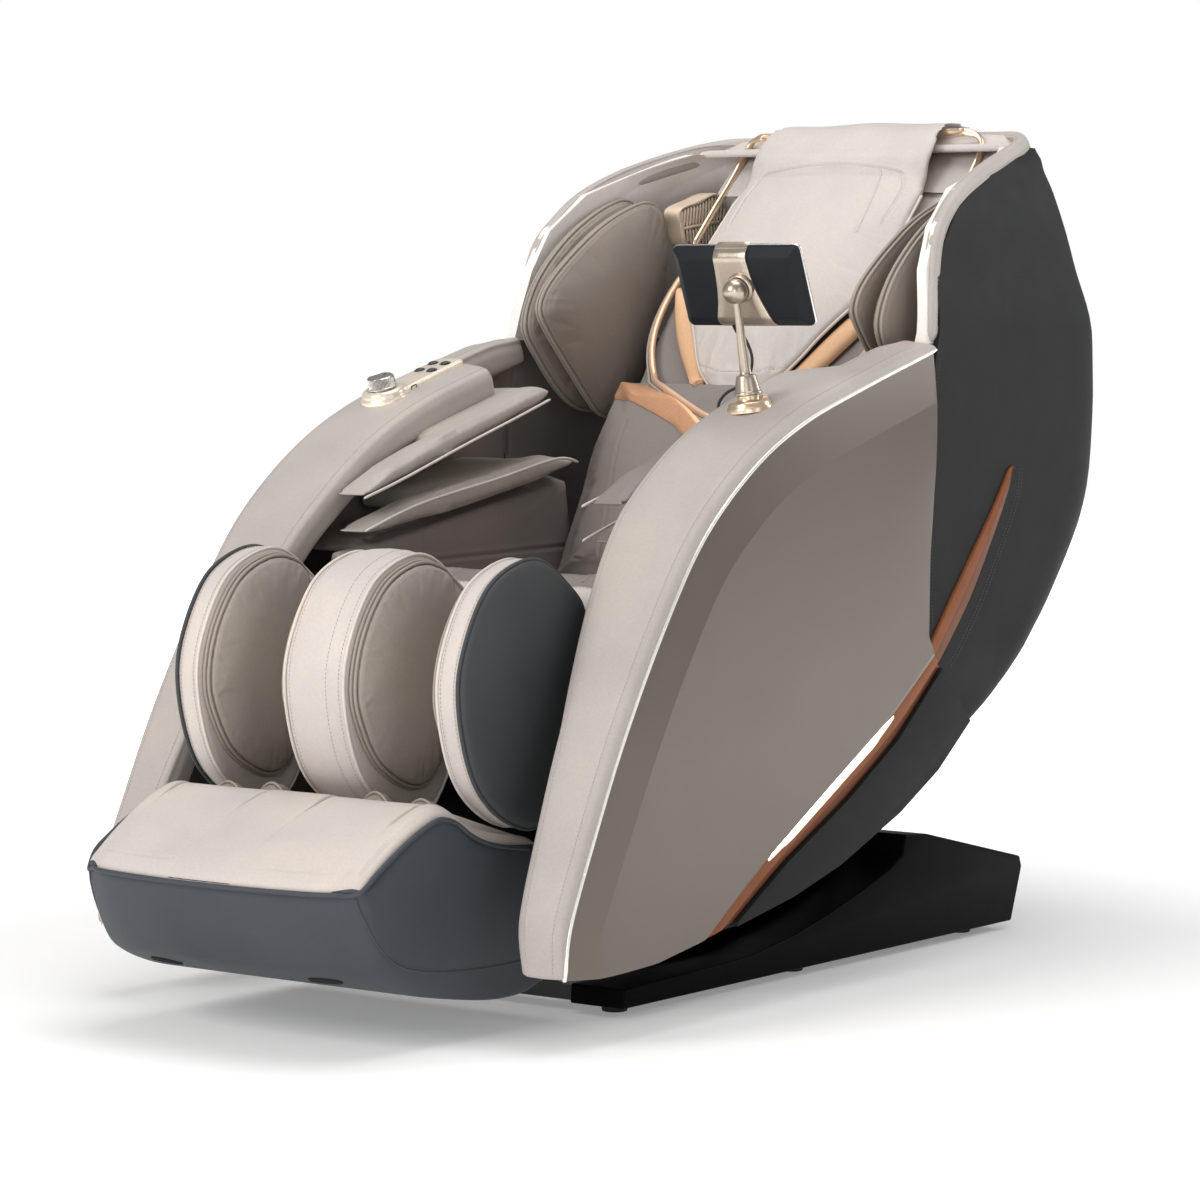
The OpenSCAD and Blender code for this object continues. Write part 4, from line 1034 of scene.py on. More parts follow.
def foot_rest():
    body = foot_body("footrest_body", foot_soft, lo=1.2)
    cutters = [well_cutter("well_l", 1), well_cutter("well_r", -1)]
    cut(body, cutters)
    me = body.data
    me.materials.clear()
    me.materials.append(foot_soft)
    me.materials.append(taupe)
    trees = [surface(c) for c in cutters]
    for p in me.polygons:
        near = min(t.find_nearest(p.center)[3] or 1 for t in trees)
        p.material_index = 1 if near < 0.0004 and abs(p.center.x) > 0.05 else 0
    shade(body, 35)
    piece(body, "footrest", ("footrest_shell",))
    for c in cutters:
        bpy.data.objects.remove(c)
    # beige cover of the top: a sheet that follows the top, rolls over the front edge and curves round each well
    def top_z(y):
        return table(y, [(a, b) for a, b in curve(FOOT_TOP, 8)])

    def rear(x):
        a = abs(x)
        if a > 200 or a < 50:
            return -430 if a > 200 else -452
        s = (a - 50) / 150
        return -606 - 10 * math.sin(math.pi * s) ** 0.7

    xs = [-229 + 458 * i / 120 for i in range(121)]
    under, upper = [], []
    for x in xs:
        ax = abs(x)
        edge = smooth((ax - 214) / 18)
        y0 = -799 + 7 * smooth((ax - 190) / 40)
        col = []
        yr = rear(x)
        for j in range(41):
            t = j / 40
            y = y0 + (yr - y0) * t
            z = top_z(y) - 5.5 * edge
            puff = 5.4 * min(1, math.sqrt(min((t) / 0.10, 1))) * min(1,
                    math.sqrt(min((1 - t) / 0.05, 1))) * (1 - 0.75 * edge)
            puff += 2.2 * math.sin(math.pi * t) * (1 - edge)
            col.append((x, y + bow(x, y) - 1.0, z + puff + 0.6))
        upper.append(col)
        under.append([(px, py + (1.5 if j == 0 else 0), pz - 7 - (2 if j == 0 else 0))
                      for j, (px, py, pz) in enumerate(col)])
    rows = [u + l[::-1] for u, l in zip(upper, under)]
    v, f = grid(rows, closed_cols=True, cap=True)
    cover = build("footrest_cover_skin", v, f, beige, sharp=65)
    s = cover.modifiers.new("sub", "SUBSURF")
    s.levels = 1
    dg = bpy.context.evaluated_depsgraph_get()
    dg.update()
    me = bpy.data.meshes.new_from_object(cover.evaluated_get(dg))
    cover.modifiers.clear()
    cover.data = me
    shade(cover, 65)
    tree = surface(cover)
    line = [(x, -781 + 7 * smooth((abs(x) - 190) / 40) + bow(x, -790), top_z(-781) + 6) for x in xs[6:-6]]
    lines = [onto(tree, line)[0]]
    for k in (1, -1):
        lines.append(onto(tree, [(219 * k, y, top_z(y)) for y in range(-772, -445, 8)])[0])
    groove(cover, lines, width=1.7, depth=1.4, welt=0.5)
    tree = surface(cover)
    piece(cover, "footrest", ("footrest_cover",))
    threads, pipe = Bag(), Bag()
    for ln in lines:
        shifted = [(x * (1 - 5.0 / max(abs(x), 5)) if abs(x) > 214 else x, y + (5.0 if abs(x) <= 214 else 0), z)
                   for x, y, z in ln]
        p, ns = onto(tree, shifted)
        threads.stitches(p, ns, pitch=6, length=4.2, r=0.45)
    piece(threads.make("footrest_stitches", thread_light), "footrest")
    # blue-grey piping where the cover meets the shell
    front = [(x, -803.2 + 7 * smooth((abs(x) - 190) / 40) + bow(x, -800), 207.5) for x in xs]
    front = [(x, y, z - 4 * smooth((abs(x) - 205) / 24)) for x, y, z in front]
    right = [(230.5 + 1.5 * smooth(i / 6), y, top_z(y) - 9.5) for i, y in enumerate(range(-786, -430, 10))]
    path = [(-x, y, z) for x, y, z in right[::-1]] + front[2:-2] + right
    path = resample(curve(path[::3], 4), 260)
    pipe.tube(path, 3.3, sides=8)
    piece(pipe.make("footrest_piping", foot_soft), "footrest")
    # seams of the shell's side panels
    seam = Bag()
    body_tree = surface(body)
    for k in (1, -1):
        line = curve([(226 * k, -796, 203), (229 * k, -782, 180), (233 * k, -764, 150), (234 * k, -735, 122),
                      (234 * k, -690, 104), (234 * k, -600, 92), (234 * k, -470, 90), (234 * k, -380, 110)], 10)
        p, ns = onto(body_tree, line, 0.1)
        seam.tube(resample(p, 90), 1.6, sides=6)
    piece(seam.make("footrest_side_seams", charcoal_soft), "footrest")
    # vents: oval frames with slats
    vents = Bag()
    for k in (1, -1):
        cx, cy, cz = 133 * k, -738, 93
        hit, nrm, _, _ = body_tree.find_nearest(Vector((cx, cy, cz)) * 1e-3)
        o3, nrm = hit * 1e3, nrm.normalized()
        u = Vector((1, 0, 0)) - nrm * nrm.x
        u.normalize()
        w = nrm.cross(u)
        turn = [2 * math.pi * i / 40 for i in range(40)]
        oval = [o3 + u * (25 * math.cos(a)) + w * (9 * math.sin(a)) + nrm * 0.6 for a in turn]
        vents.tube([tuple(p) for p in oval], 1.9, sides=8, closed=True)
        for j in range(-5, 6):
            h = 8.5 * math.sqrt(1 - (j / 6) ** 2)
            a, b = o3 + u * (j * 4.0) + w * h, o3 + u * (j * 4.0 + 2) - w * h
            vents.tube([tuple(a.lerp(b, s / 4) + nrm * 0.9) for s in range(5)], 1.15, sides=6)
        pl = [o3 + u * (24.5 * math.cos(a)) + w * (8.5 * math.sin(a)) for a in turn]
        vv = ([tuple(p + nrm * 0.25) for p in pl] + [tuple(o3 + nrm * 0.15)]
              + [tuple(p - nrm * 1.5) for p in pl] + [tuple(o3 - nrm * 1.5)])
        ff = [(i, (i + 1) % 40, 40) for i in range(40)] + [(41 + (i + 1) % 40, 41 + i, 81) for i in range(40)]
        ff += [(i, 41 + i, 41 + (i + 1) % 40, (i + 1) % 40) for i in range(40)]
        vents.add(vv, ff)
    piece(vents.make("footrest_vents", matte_black), "footrest", ("foot_vents",))
    # folded flaps that rise from each well
    petals, rims = Bag(), Bag()
    for k in (1, -1):
        for x0, x1, lean, high in ((60, 118, -1, 34), (132, 190, 1, 30)):
            rows, rim = [], []
            for i in range(15):
                s = i / 14
                x = x0 + (x1 - x0) * s
                arch = math.sin(math.pi * s) ** 0.7
                row = []
                for j in range(9):
                    t = j / 8
                    y = -598 + 46 * t * (0.6 + 0.4 * arch) - 8 * arch * (1 - t)
                    z = 276 + arch * high * math.sin(math.pi * (0.15 + 0.62 * t)) - 12 * t
                    row.append(((x + lean * 5 * t) * k, y, z))
                rim.append(row[3])
                row += [(p[0], p[1] + 1, p[2] - 6 - 3 * arch) for p in row[::-1]]
                rows.append(row)
            v, f = grid(rows, closed_cols=True, cap=True)
            petals.add(v, f)
            rims.tube([(x, y - 1, z + 1.6) for x, y, z in resample(curve(rim, 3), 40)], 2.0, sides=8)
    piece(petals.make("foot_flaps", taupe, sharp=70), "footrest")
    piece(rims.make("foot_flap_piping", taupe_piping), "footrest")


foot_rest()


def from_node(name, node, mat, voxel, pressure, cap, shrink=1.0, **kw):
    """A soft piece blown up from a CAD solid's own shape, made slightly smaller first."""
    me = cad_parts[node].data.copy()
    me.materials.clear()
    me.materials.append(mat)
    o = bpy.data.objects.new(name, me)
    scene.collection.objects.link(o)
    bm = bmesh.new()
    bm.from_mesh(me)
    bmesh.ops.remove_doubles(bm, verts=bm.verts, dist=1e-5)
    bmesh.ops.recalc_face_normals(bm, faces=bm.faces)
    bm.to_mesh(me)
    bm.free()
    m = o.modifiers.new("remesh", "REMESH")
    m.mode, m.voxel_size = "VOXEL", voxel * 1e-3
    m.use_smooth_shade = True
    d = o.modifiers.new("shrink", "DISPLACE")
    d.strength, d.mid_level = -shrink * 1e-3, 0.0
    c = o.modifiers.new("smooth", "SMOOTH")
    c.iterations, c.factor = 3, 0.5
    dg = bpy.context.evaluated_depsgraph_get()
    dg.update()
    o.data = bpy.data.meshes.new_from_object(o.evaluated_get(dg))
    o.modifiers.clear()
    soften(o, voxel, pressure, cap, **kw)
    return o


pads = from_node("foot_pads_soft", "foot_pads", taupe, 5, 3.5, 3.5, shrink=1.5)
piece(pads, "footrest", ("foot_pads",))


# ---------------------------------------------------------------- rear shell and hood
SHELL = [(325, 352, 466, 345, 95), (365, 362, 530, 316, 110), (430, 376, 608, 262, 130), (510, 376, 698, 262, 150),
         (629, 376, 795, 262, 170), (760, 376, 824, 262, 180), (883, 376, 825, 290, 190), (970, 363, 803, 305, 200),
         (1030, 355, 788, 350, 210), (1085, 342, 775, 422, 215), (1115, 334, 762, 522, 215),
         (1135, 320, 745, 590, 150),
         (1150, 298, 724, 652, 80)]
HOOD_FRONT = [(868, 262), (883, 268), (970, 288), (1030, 322), (1085, 396), (1115, 494), (1135, 560), (1150, 612)]


def section(row, t, n=72, front=None):
    z, w, rear, f, d = row
    w, rear, f = w - t, rear - t, f if front is None else front
    d = min(d, rear - f) - 1
    c = rear - d
    start = math.asin(min(((f - c) / d), 1) ** 1.6) if f > c else 0.0
    p = 2 / 3.2
    out = [(w * math.cos(start) ** p, f, z)]
    for i in range(n + 1):
        a = start + (math.pi - 2 * start) * (i + 0.5) / (n + 1)
        x, y = math.cos(a), math.sin(a)
        out.append((w * math.copysign(abs(x) ** p, x), c + d * y ** p, z))
    out.append((-w * math.cos(start) ** p, f, z))
    return out


def fine_rows(rows, n=5):
    """Shell rows between the given ones; the width never passes the widest."""
    out = []
    for z, w, r, f, d in curve(rows, n):
        out.append((z, min(w, 376), min(r, 826), f, d))
    return out


def sheet_between(outer, inner):
    rows = [o + i[::-1] for o, i in zip(outer, inner)]
    return grid(rows, closed_cols=True, cap=True)


def shells():
    rows = fine_rows(SHELL)
    outer = [resample(section(r, 0), 110) for r in rows]
    inner = [resample(section(r, 8), 110) for r in rows]
    v, f = sheet_between(outer, inner)
    o = build("rear_shell_skin", v, f, charcoal_shell, sharp=50)
    piece(o, "backrest", ("rear_shell",))
    tree = surface(o)
    threads = Bag()
    edge = [(482, 690), (471, 651), (383, 521), (300, 432)]
    for k in (1, -1):
        for off in (24, 31):
            line = beside(resample(curve(edge, 8), 60), off)
            p, n = onto(tree, [(380 * k, y, z) for y, z in line])
            threads.stitches(p, n, pitch=5.2, length=3.4, r=0.5)
        line = [(380 * k, y + 12, z) for y, z in [(262, 470), (262, 600), (262, 740), (278, 850)]]
        p, n = onto(tree, resample(curve(line, 8), 60))
        threads.stitches(p, n, pitch=5.2, length=3.4, r=0.45)
    # seams down the back of the shell
    for x0 in (-150, 150):
        line = []
        for r in rows[8:-3]:
            line.append((x0 * (r[1] / 376), r[2] + 5, r[0]))
        p, n = onto(tree, resample(line, 120))
        threads.stitches(p, n, pitch=5.2, length=3.4, r=0.5)
    piece(threads.make("shell_stitches", thread_dark), "backrest")
    # hood lining: padded sheet inside the shell, with soft vertical channels
    hood_rows = [(868, 376, 824, 266, 190)] + [r for r in rows if 880 < r[0] <= 1150]
    outer = [resample(section(r, 9, front=table(r[0], HOOD_FRONT)), 120) for r in hood_rows]
    inner = []
    for r in hood_rows:
        loop = resample(section(r, 24, front=table(r[0], HOOD_FRONT)), 120)
        c = Vector((0, 560, r[0]))
        out = []
        for i, p in enumerate(loop):
            d = 1.5 * abs(math.sin(math.pi * i / 10)) ** 0.6
            u = (c - Vector(p)).normalized()
            out.append(tuple(Vector(p) + u * d))
        inner.append(out)
    v, f = sheet_between(outer, inner)
    # the lining takes the lighter beige, painted light
    o = build("hood_lining", v, f, hood_beige_painted_light, sharp=60)
    piece(o, "backrest", ("hood",))
    # rim: a padded roll that covers the shell's front edge and widens towards the top
    side = [(364, 282, 867), (361, 290, 905), (355, 303, 950), (348, 323, 1005), (341, 354, 1038), (335, 405, 1073),
            (327, 480, 1103),
            (316, 556, 1125), (301, 622, 1142), (279, 668, 1154), (243, 700, 1165), (182, 714, 1171), (90, 718, 1173)]
    route = side + [(0, 719, 1174)] + mirror(side)[::-1]
    route = resample(curve(route, 8), 240)
    m = len(route)
    cols = []
    rim = []
    for i, p in enumerate(route):
        a, b = Vector(route[max(i - 1, 0)]), Vector(route[min(i + 1, m - 1)])
        t = (b - a).normalized()
        s = min(i, m - 1 - i) / (m / 2)
        k = 1 if i < m / 2 else -1
        side_up = Vector((k, 0.12, 0))
        up = side_up.lerp(Vector((0, 0.1, 1)), smooth((s - 0.56) / 0.3))
        up = (up - t * up.dot(t)).normalized()
        fwd = t.cross(up)
        if fwd.y > 0:
            fwd = -fwd
        wide = 13.5 + 4 * smooth((s - 0.1) / 0.45) - 8 * smooth((s - 0.62) / 0.2)
        tall = 10.5 - 5 * smooth((s - 0.62) / 0.2)
        end = smooth(min(i, m - 1 - i) / 3 + 0.25)
        row = []
        for j in range(24):
            q = 2 * math.pi * j / 24
            cs, sn = math.cos(q), math.sin(q)
            e = 0.72
            row.append(tuple(Vector(p) + up * (tall * end * math.copysign(abs(cs) ** e,
                    cs)) + fwd * (wide * end * math.copysign(abs(sn) ** e, sn))))
        rim.append(row)
        cols.append((Vector(p), up, fwd, wide))
    v, f = grid(rim, closed_cols=True, cap=True)
    # the rim and its piping take the darker beige, painted shade
    o = build("hood_rim", v, f, beige_painted_shade, sharp=70)
    sub = o.modifiers.new("sub", "SUBSURF")
    sub.levels = 1
    dg = bpy.context.evaluated_depsgraph_get()
    dg.update()
    me = bpy.data.meshes.new_from_object(o.evaluated_get(dg))
    o.modifiers.clear()
    o.data = me
    seam = [tuple(p + up * 10 - fwd * (w * 0.15)) for p, up, fwd, w in cols[4:-4]]
    groove(o, [seam], width=1.6, depth=1.4, welt=0.6)
    shade(o, 70)
    piece(o, "backrest")
    tree = surface(o)
    threads, welt = Bag(), Bag()
    p, n = onto(tree, [tuple(p + up * 10 + fwd * (w * 0.22)) for p, up, fwd, w in cols[4:-4]])
    threads.stitches(p, n, pitch=5.5, length=3.6, r=0.42)
    p, n = onto(tree, [tuple(p - up * 7 + fwd * (w * 0.85)) for p, up, fwd, w in cols[4:-4]], 0.4)
    welt.tube(p, 1.9, sides=8)
    piece(threads.make("hood_rim_stitches", thread_taupe), "backrest")
    piece(welt.make("hood_rim_piping", beige_painted_shade), "backrest")
    # roof
    loop = section((1150, 296, 722, 640, 80), 0)
    loop = resample([(x, y) for x, y, z in loop] + [(-150, 640), (0, 641), (150, 640)], 160, closed=True)
    v, f = disc(loop, [(8, 0.9, 1146), (8, 0, 1146), (1.5, 0, 1148), (0.5, 0, 1151), (2, 0, 1156), (7, 0, 1162),
                       (16, 0, 1167.5), (28, 0, 1171.5), (32, 0.25, 1174),
                       (32, 0.55, 1175), (32, 0.85, 1175.5)],
                       place=lambda a, b, h: (a, b,
                                              1148 + (h - 1148) * (1 - 0.62 * smooth((694 - b) / 26) * (h > 1148))),
                       centre=(0, 680))
    o = build("hood_roof", v, f, beige, sharp=60)
    piece(o, "backrest")
    # padded panel that closes the hood behind the pillow
    spine = resample(curve([(612, 1090), (636, 1112), (660, 1134), (684, 1150), (708, 1158)], 6), 26)
    rows = []
    for i in range(61):
        x = -228 + 456 * i / 60
        e = min(1, (228 - abs(x)) / 10 + 0.2)
        puff = 2.2 * abs(math.sin(math.pi * (x + 228) / 76)) ** 0.6
        up = [(x, y - 0.6 * (4 * e + puff), z - 0.8 * (4 * e + puff)) for y, z in spine]
        rows.append(up + [(x, y + 3, z + 4) for y, z in spine][::-1])
    v, f = grid(rows, closed_cols=True, cap=True)
    # the back panel takes the darker beige, painted shade
    piece(build("hood_back_panel", v, f, beige_painted_shade, sharp=60), "backrest")


shells()


# ---------------------------------------------------------------- back cushion, band and pillow
BACK_FRONT = [(146, 520), (164, 565), (182, 600), (215, 660), (250, 720), (325, 815), (385, 900), (470, 1000),
              (560, 1090), (610, 1140)]
front_line = curve(BACK_FRONT, 12)
front_by_z = [(z, y) for y, z in front_line]


def deep(z):
    """How far the head of the cushion lies behind its front line."""
    return 41 * smooth((z - 800) / 30)


def sunk(z):
    """The same step, as the padding over it rounds it."""
    return 37 * smooth((z - 792) / 44)


def on_front(x, z, off):
    """A point off the back cushion's front, towards the sitter."""
    y = table(z, front_by_z)
    a, b = table(z - 12, front_by_z), table(z + 12, front_by_z)
    t = Vector((b - a, 24.0)).normalized()
    return (x, y - t.y * off, z + t.x * off)


def patch(name, left, right, top, bottom, off, thick, mat, tree=None, nx=40, nz=10, sharp=50, puff=0.0, sink=None):
    """A leather patch that hugs the cushion between two curves of x, given top and bottom heights."""
    rows = []
    for i in range(nx + 1):
        x = left + (right - left) * i / nx
        a, b = bottom(x), top(x)
        up, dn = [], []
        for j in range(nz + 1):
            z = a + (b - a) * j / nz
            e = min(j, nz - j) / nz
            lift = thick * min(1, 0.25 + 6 * e) + puff * math.sin(math.pi * j / nz)
            if tree:
                base = Vector(on_front(x, z, 60)) * 1e-3
                d = (Vector(on_front(x, z, 0)) * 1e-3 - base).normalized()
                hit = tree.ray_cast(base, d)[0]
                p = Vector(on_front(x, z, off - deep(z))) if hit is None else hit * 1e3 - d * off
                up.append(tuple(p - d * lift))
                dn.append(tuple(p + d * 2.0))
            else:
                low = off - (sink(z) if sink else 0)
                up.append(on_front(x, z, low + lift))
                dn.append(on_front(x, z, low - 6))
        rows.append(up + dn[::-1])
    v, f = grid(rows, closed_cols=True, cap=True)
    return build(name, v, f, mat, sharp=sharp)


def backrest_soft():
    o = from_node("back_cushion_soft", "back_cushion", taupe_mid, 6, 4.0, 9, shrink=3,
                  keep=lambda x, y, z: y > table(z, front_by_z) + (52 if z < 800 else 12))
    lines = []
    for k in (1, -1):
        lines.append([on_front((118 + 30 * smooth((z - 560) / 200)) * k, z, 4) for z in range(545, 752, 4)])
    lines.append([on_front(x, 560 - 14 * math.cos(x / 200 * 1.5), 4) for x in range(-190, 191, 4)])
    groove(o, lines, width=2.4, depth=2.4, welt=0.8)
    o.data.materials.append(beige)
    for p in o.data.polygons:
        c = p.center * 1e3
        p.material_index = 1 if c.z > 905 + 0.25 * abs(c.x) else 0
    piece(o, "backrest", ("back_cushion",))
    tree = surface(o)
    top = lambda x: table(abs(x), [(0, 741), (10, 746), (46, 768), (86, 789), (132, 801), (172, 808), (205, 812)])
    bot = lambda x: table(abs(x), [(0, 708), (24, 722), (60, 744), (98, 758), (148, 774), (205, 788)])
    band = patch("back_band_leather", -203, 203, top, bot, 0.6, 3.0, copper_leather, tree, nx=110, nz=10, puff=0.8)
    piece(band, "backrest", ("back_band",))
    # arcs of gold piping and gold inserts beside the pillow
    arcs, pipes = Bag(), Bag()
    arc = resample(curve([(199, 985), (203, 955), (203, 925), (198, 895), (186, 862), (164, 830), (128, 806),
                          (74, 782), (24, 762), (0, 754)], 8), 90)
    for k in (1, -1):
        pts = []
        for x, z in arc:
            pts.append(on_front(x * k, z, 6.5 - sunk(z)))
        arcs.tube(pts, 5.0, sides=12)
        pts2 = [on_front((x + 6.5) * k, z - 4.5, 5.5 - sunk(z - 4.5)) for x, z in arc]
        pipes.tube(pts2, 2.2, sides=8)
    piece(arcs.make("back_arc_piping", rose), "backrest")
    piece(pipes.make("back_arc_welt", taupe_piping), "backrest")
    out_t = [(0, 800), (60, 804), (84, 815), (108, 834), (132, 860), (156, 892), (178, 926), (190, 950)]
    in_t = [(0, 818), (60, 820), (84, 850), (108, 884), (132, 918), (156, 944), (178, 960), (190, 966)]
    for k, side in SIDES:
        lo, hi = (62, 189) if k > 0 else (-189, -62)
        o = patch(f"gold_insert_{side}", lo, hi, lambda x: table(abs(x), in_t), lambda x: table(abs(x), out_t), 5.0,
                  4.0, gold_leather, nx=60, nz=10, puff=5, sink=sunk)
        piece(o, "backrest")
    return tree


copper_leather = metal("copper leather", (0.78, 0.42, 0.24), rough=(0.3, 0.4), metallic=0.55, line=0.2)
backrest_soft()


def pillow():
    """Head pillow with a flap that runs up and over the hood."""
    path = [(z, 36) for z in (806, 840, 880, 920, 960, 1000, 1040, 1080, 1112)]
    mid = []
    for z, t in path:
        _, y, zz = on_front(0, z, 1 - t * 0.5)
        mid.append((y, zz, t))
    mid += [(605, 1131, 30), (620, 1152, 20), (636, 1172, 12), (656, 1184, 8), (684, 1188.5, 8), (712, 1187.5, 8),
            (734, 1181, 7)]
    s = resample(curve(mid, 10), 110)
    n = len(s)
    rows = []
    wide = [(0, 38), (0.015, 48), (0.05, 72), (0.10, 92), (0.16, 110), (0.22, 131), (0.27, 150), (0.33, 163),
            (0.45, 168), (0.6, 165), (0.68, 162), (0.74, 158),
            (0.82, 156), (0.9, 158), (0.97, 157), (1.0, 152)]
    for i, (y, z, t) in enumerate(s):
        a, b = Vector(s[max(i - 1, 0)][:2]), Vector(s[min(i + 1, n - 1)][:2])
        d = (b - a).normalized()
        nx = Vector((-d.y, d.x))
        q = i / (n - 1)
        w = table(q, wide) + (2.5 * math.sin(q * 26) if q > 0.66 else 0)
        end = min(1, math.sqrt(max(min(q / 0.035, 1), 0.02))) * min(1, math.sqrt(max(min((1 - q) / 0.02, 1), 0.02)))
        fr, bk = [], []
        for j in range(57):
            u = -1 + 2 * j / 56
            h = t / 2 * max(1 - abs(u) ** 5, 0) ** 0.5 * end
            crown = (5 if q < 0.62 else 1.5) * (1 - u * u) * math.sin(math.pi * min(q / 0.66, 1)) if q < 0.66 else 0
            x = w * u
            wave = 0 if q < 0.66 else 1.6 * math.sin(x * 0.035 + 1.3) * smooth((q - 0.66) / 0.2)
            p = Vector((y, z)) + nx * (h + crown + wave)
            r = Vector((y, z)) - nx * (h * 0.95 - wave * 0.6)
            fr.append((x, p.x, p.y))
            bk.append((x, r.x, r.y))
        rows.append(fr + bk[::-1][1:-1])
    v, f = grid(rows, closed_cols=True, cap=True)
    o = build("head_pillow_soft", v, f, beige, sharp=80)
    edge = [r[0] for r in rows] + [r[56] for r in rows[::-1]]
    soften(o, voxel=5, pressure=3.0, cap=5, pins=[resample(edge, 700)], pin_r=6, keep=lambda x, y, z: z > 1150)
    tree = surface(o)

    def project(points):
        out = []
        for x, z in points:
            a = Vector(on_front(x, z, 60)) * 1e-3
            d = (Vector(on_front(x, z, 0)) * 1e-3 - a).normalized()
            hit = tree.ray_cast(a, d)[0]
            if hit is not None:
                out.append(tuple(hit * 1e3))
        return out

    panel = [(-137, 1040), (-139, 1085), (-130, 1108), (-108, 1117), (0, 1122), (108, 1117), (130, 1108), (139, 1085),
             (137, 1040)]
    panel = resample(curve(panel, 8), 200)
    line = project(panel)
    inner = resample(curve([(86, 1116), (94, 1085), (100, 1050), (104, 1020)], 8), 60)
    line2 = project(inner)
    low = project(resample(curve([(-44, 828), (-96, 850), (-140, 902), (-152, 940)], 8), 50))
    low2 = project(resample(curve([(44, 828), (96, 850), (140, 902), (152, 940)], 8), 50))
    low3 = project(resample([(-44, 826), (44, 826)], 30))
    groove(o, [line, line2], width=2.0, depth=1.8, welt=0.9)
    groove(o, [low, low2, low3], width=1.6, depth=1.0, welt=0.3)
    tree = surface(o)
    threads, pipe = Bag(), Bag()
    for l in (line, line2, low, low2, low3):
        p, n2 = onto(tree, [(x * 0.965, y, z - (4 if abs(x) < 115 else 0))
                            for x, y, z in l] if l is line else [(x + 4, y, z) for x, y, z in l])
        threads.stitches(p, n2, pitch=5.6, length=3.8, r=0.4)
    piece(o, "backrest", ("head_pillow",))
    rim = [rows[i][0] for i in range(70, -1, -1)] + [rows[0][j] for j in range(4, 53,
            4)] + [rows[i][56] for i in range(0, 71)]
    pipe.tube(resample(curve(rim[::3], 3), 320), 2.3, sides=8)
    piece(pipe.make("pillow_piping", beige_light), "backrest")
    piece(threads.make("pillow_stitches", thread_taupe), "backrest")


pillow()


# ---------------------------------------------------------------- shoulder airbags, speakers, head trim
def shoulder_pads():
    outer = [(234, 895), (244, 925), (266, 958), (300, 991), (345, 1024), (395, 1051), (440, 1069), (478, 1077),
             (508, 1066), (528, 1030),
             (526, 975), (512, 912), (486, 850), (452, 800), (416, 768), (378, 764), (340, 776), (300, 806),
             (262, 846), (240, 872)]
    inner = [(224, 912), (234, 938), (262, 965), (310, 999), (371, 1035), (432, 1060), (486, 1073), (520, 1060),
             (534, 1014), (531, 960), (518, 905),
             (496, 860), (466, 812), (434, 774), (402, 754), (372, 758), (345, 779), (306, 817), (270, 853),
             (240, 886)]
    pipes = Bag()
    for tag, ol, c, x0, x1, crown in (("outer", outer, (390, 915), 318, 290, 9),
                                      ("inner", inner, (345, 915), 283, 256, 12)):
        line = resample(ring(ol, 8), 130, closed=True)
        rows = [(8, 0.9, x0), (8, 0.4, x0), (8, 0, x0), (3, 0, x0 - 1), (0.6, 0, x0 - 5), (0, 0, x0 - 10),
                (2, 0, x0 - 17), (7, 0, x1 + 6),
                (15, 0, x1 + 2), (15, 0.3, x1 - 0.2 * crown), (15, 0.6, x1 - 0.42 * crown),
                (15, 0.9, x1 - 0.5 * crown)]
        v, f = disc(line, rows, centre=c)
        o = build(f"shoulder_pad_{tag}", v, f, taupe, sharp=80)
        soften(o, voxel=4.5, pressure=4.2, cap=8, pins=[[(x0 - 10, *p) for p in resample(line, 280, True)]], pin_r=7,
               keep=lambda x, y, z: x > x0 - 2)
        groove(o, [[(x0 - 18, *p) for p in inset(line, 4, c) + inset(line, 4, c)[:1]]], 1.6, 0.9, 0.4)
        for k, side in SIDES:
            p = copy_of(o, f"shoulder_pad_{tag}_{side}", (lambda x, y, z: (x * k, y, z)), k < 0)
            piece(p, "backrest", (f"shoulder_airbags_{side}",) if tag == "outer" else ())
            pipes.tube([((x0 - 10) * k, *q) for q in inset(line, -1.5, c)], 2.6, sides=8, closed=True)
            pipes.tube([((x0 - 3) * k, *q) for q in inset(line, 0.5, c)], 2.2, sides=8, closed=True)
        bpy.data.objects.remove(o)
    piece(pipes.make("shoulder_pad_piping", taupe_piping), "backrest")


shoulder_pads()


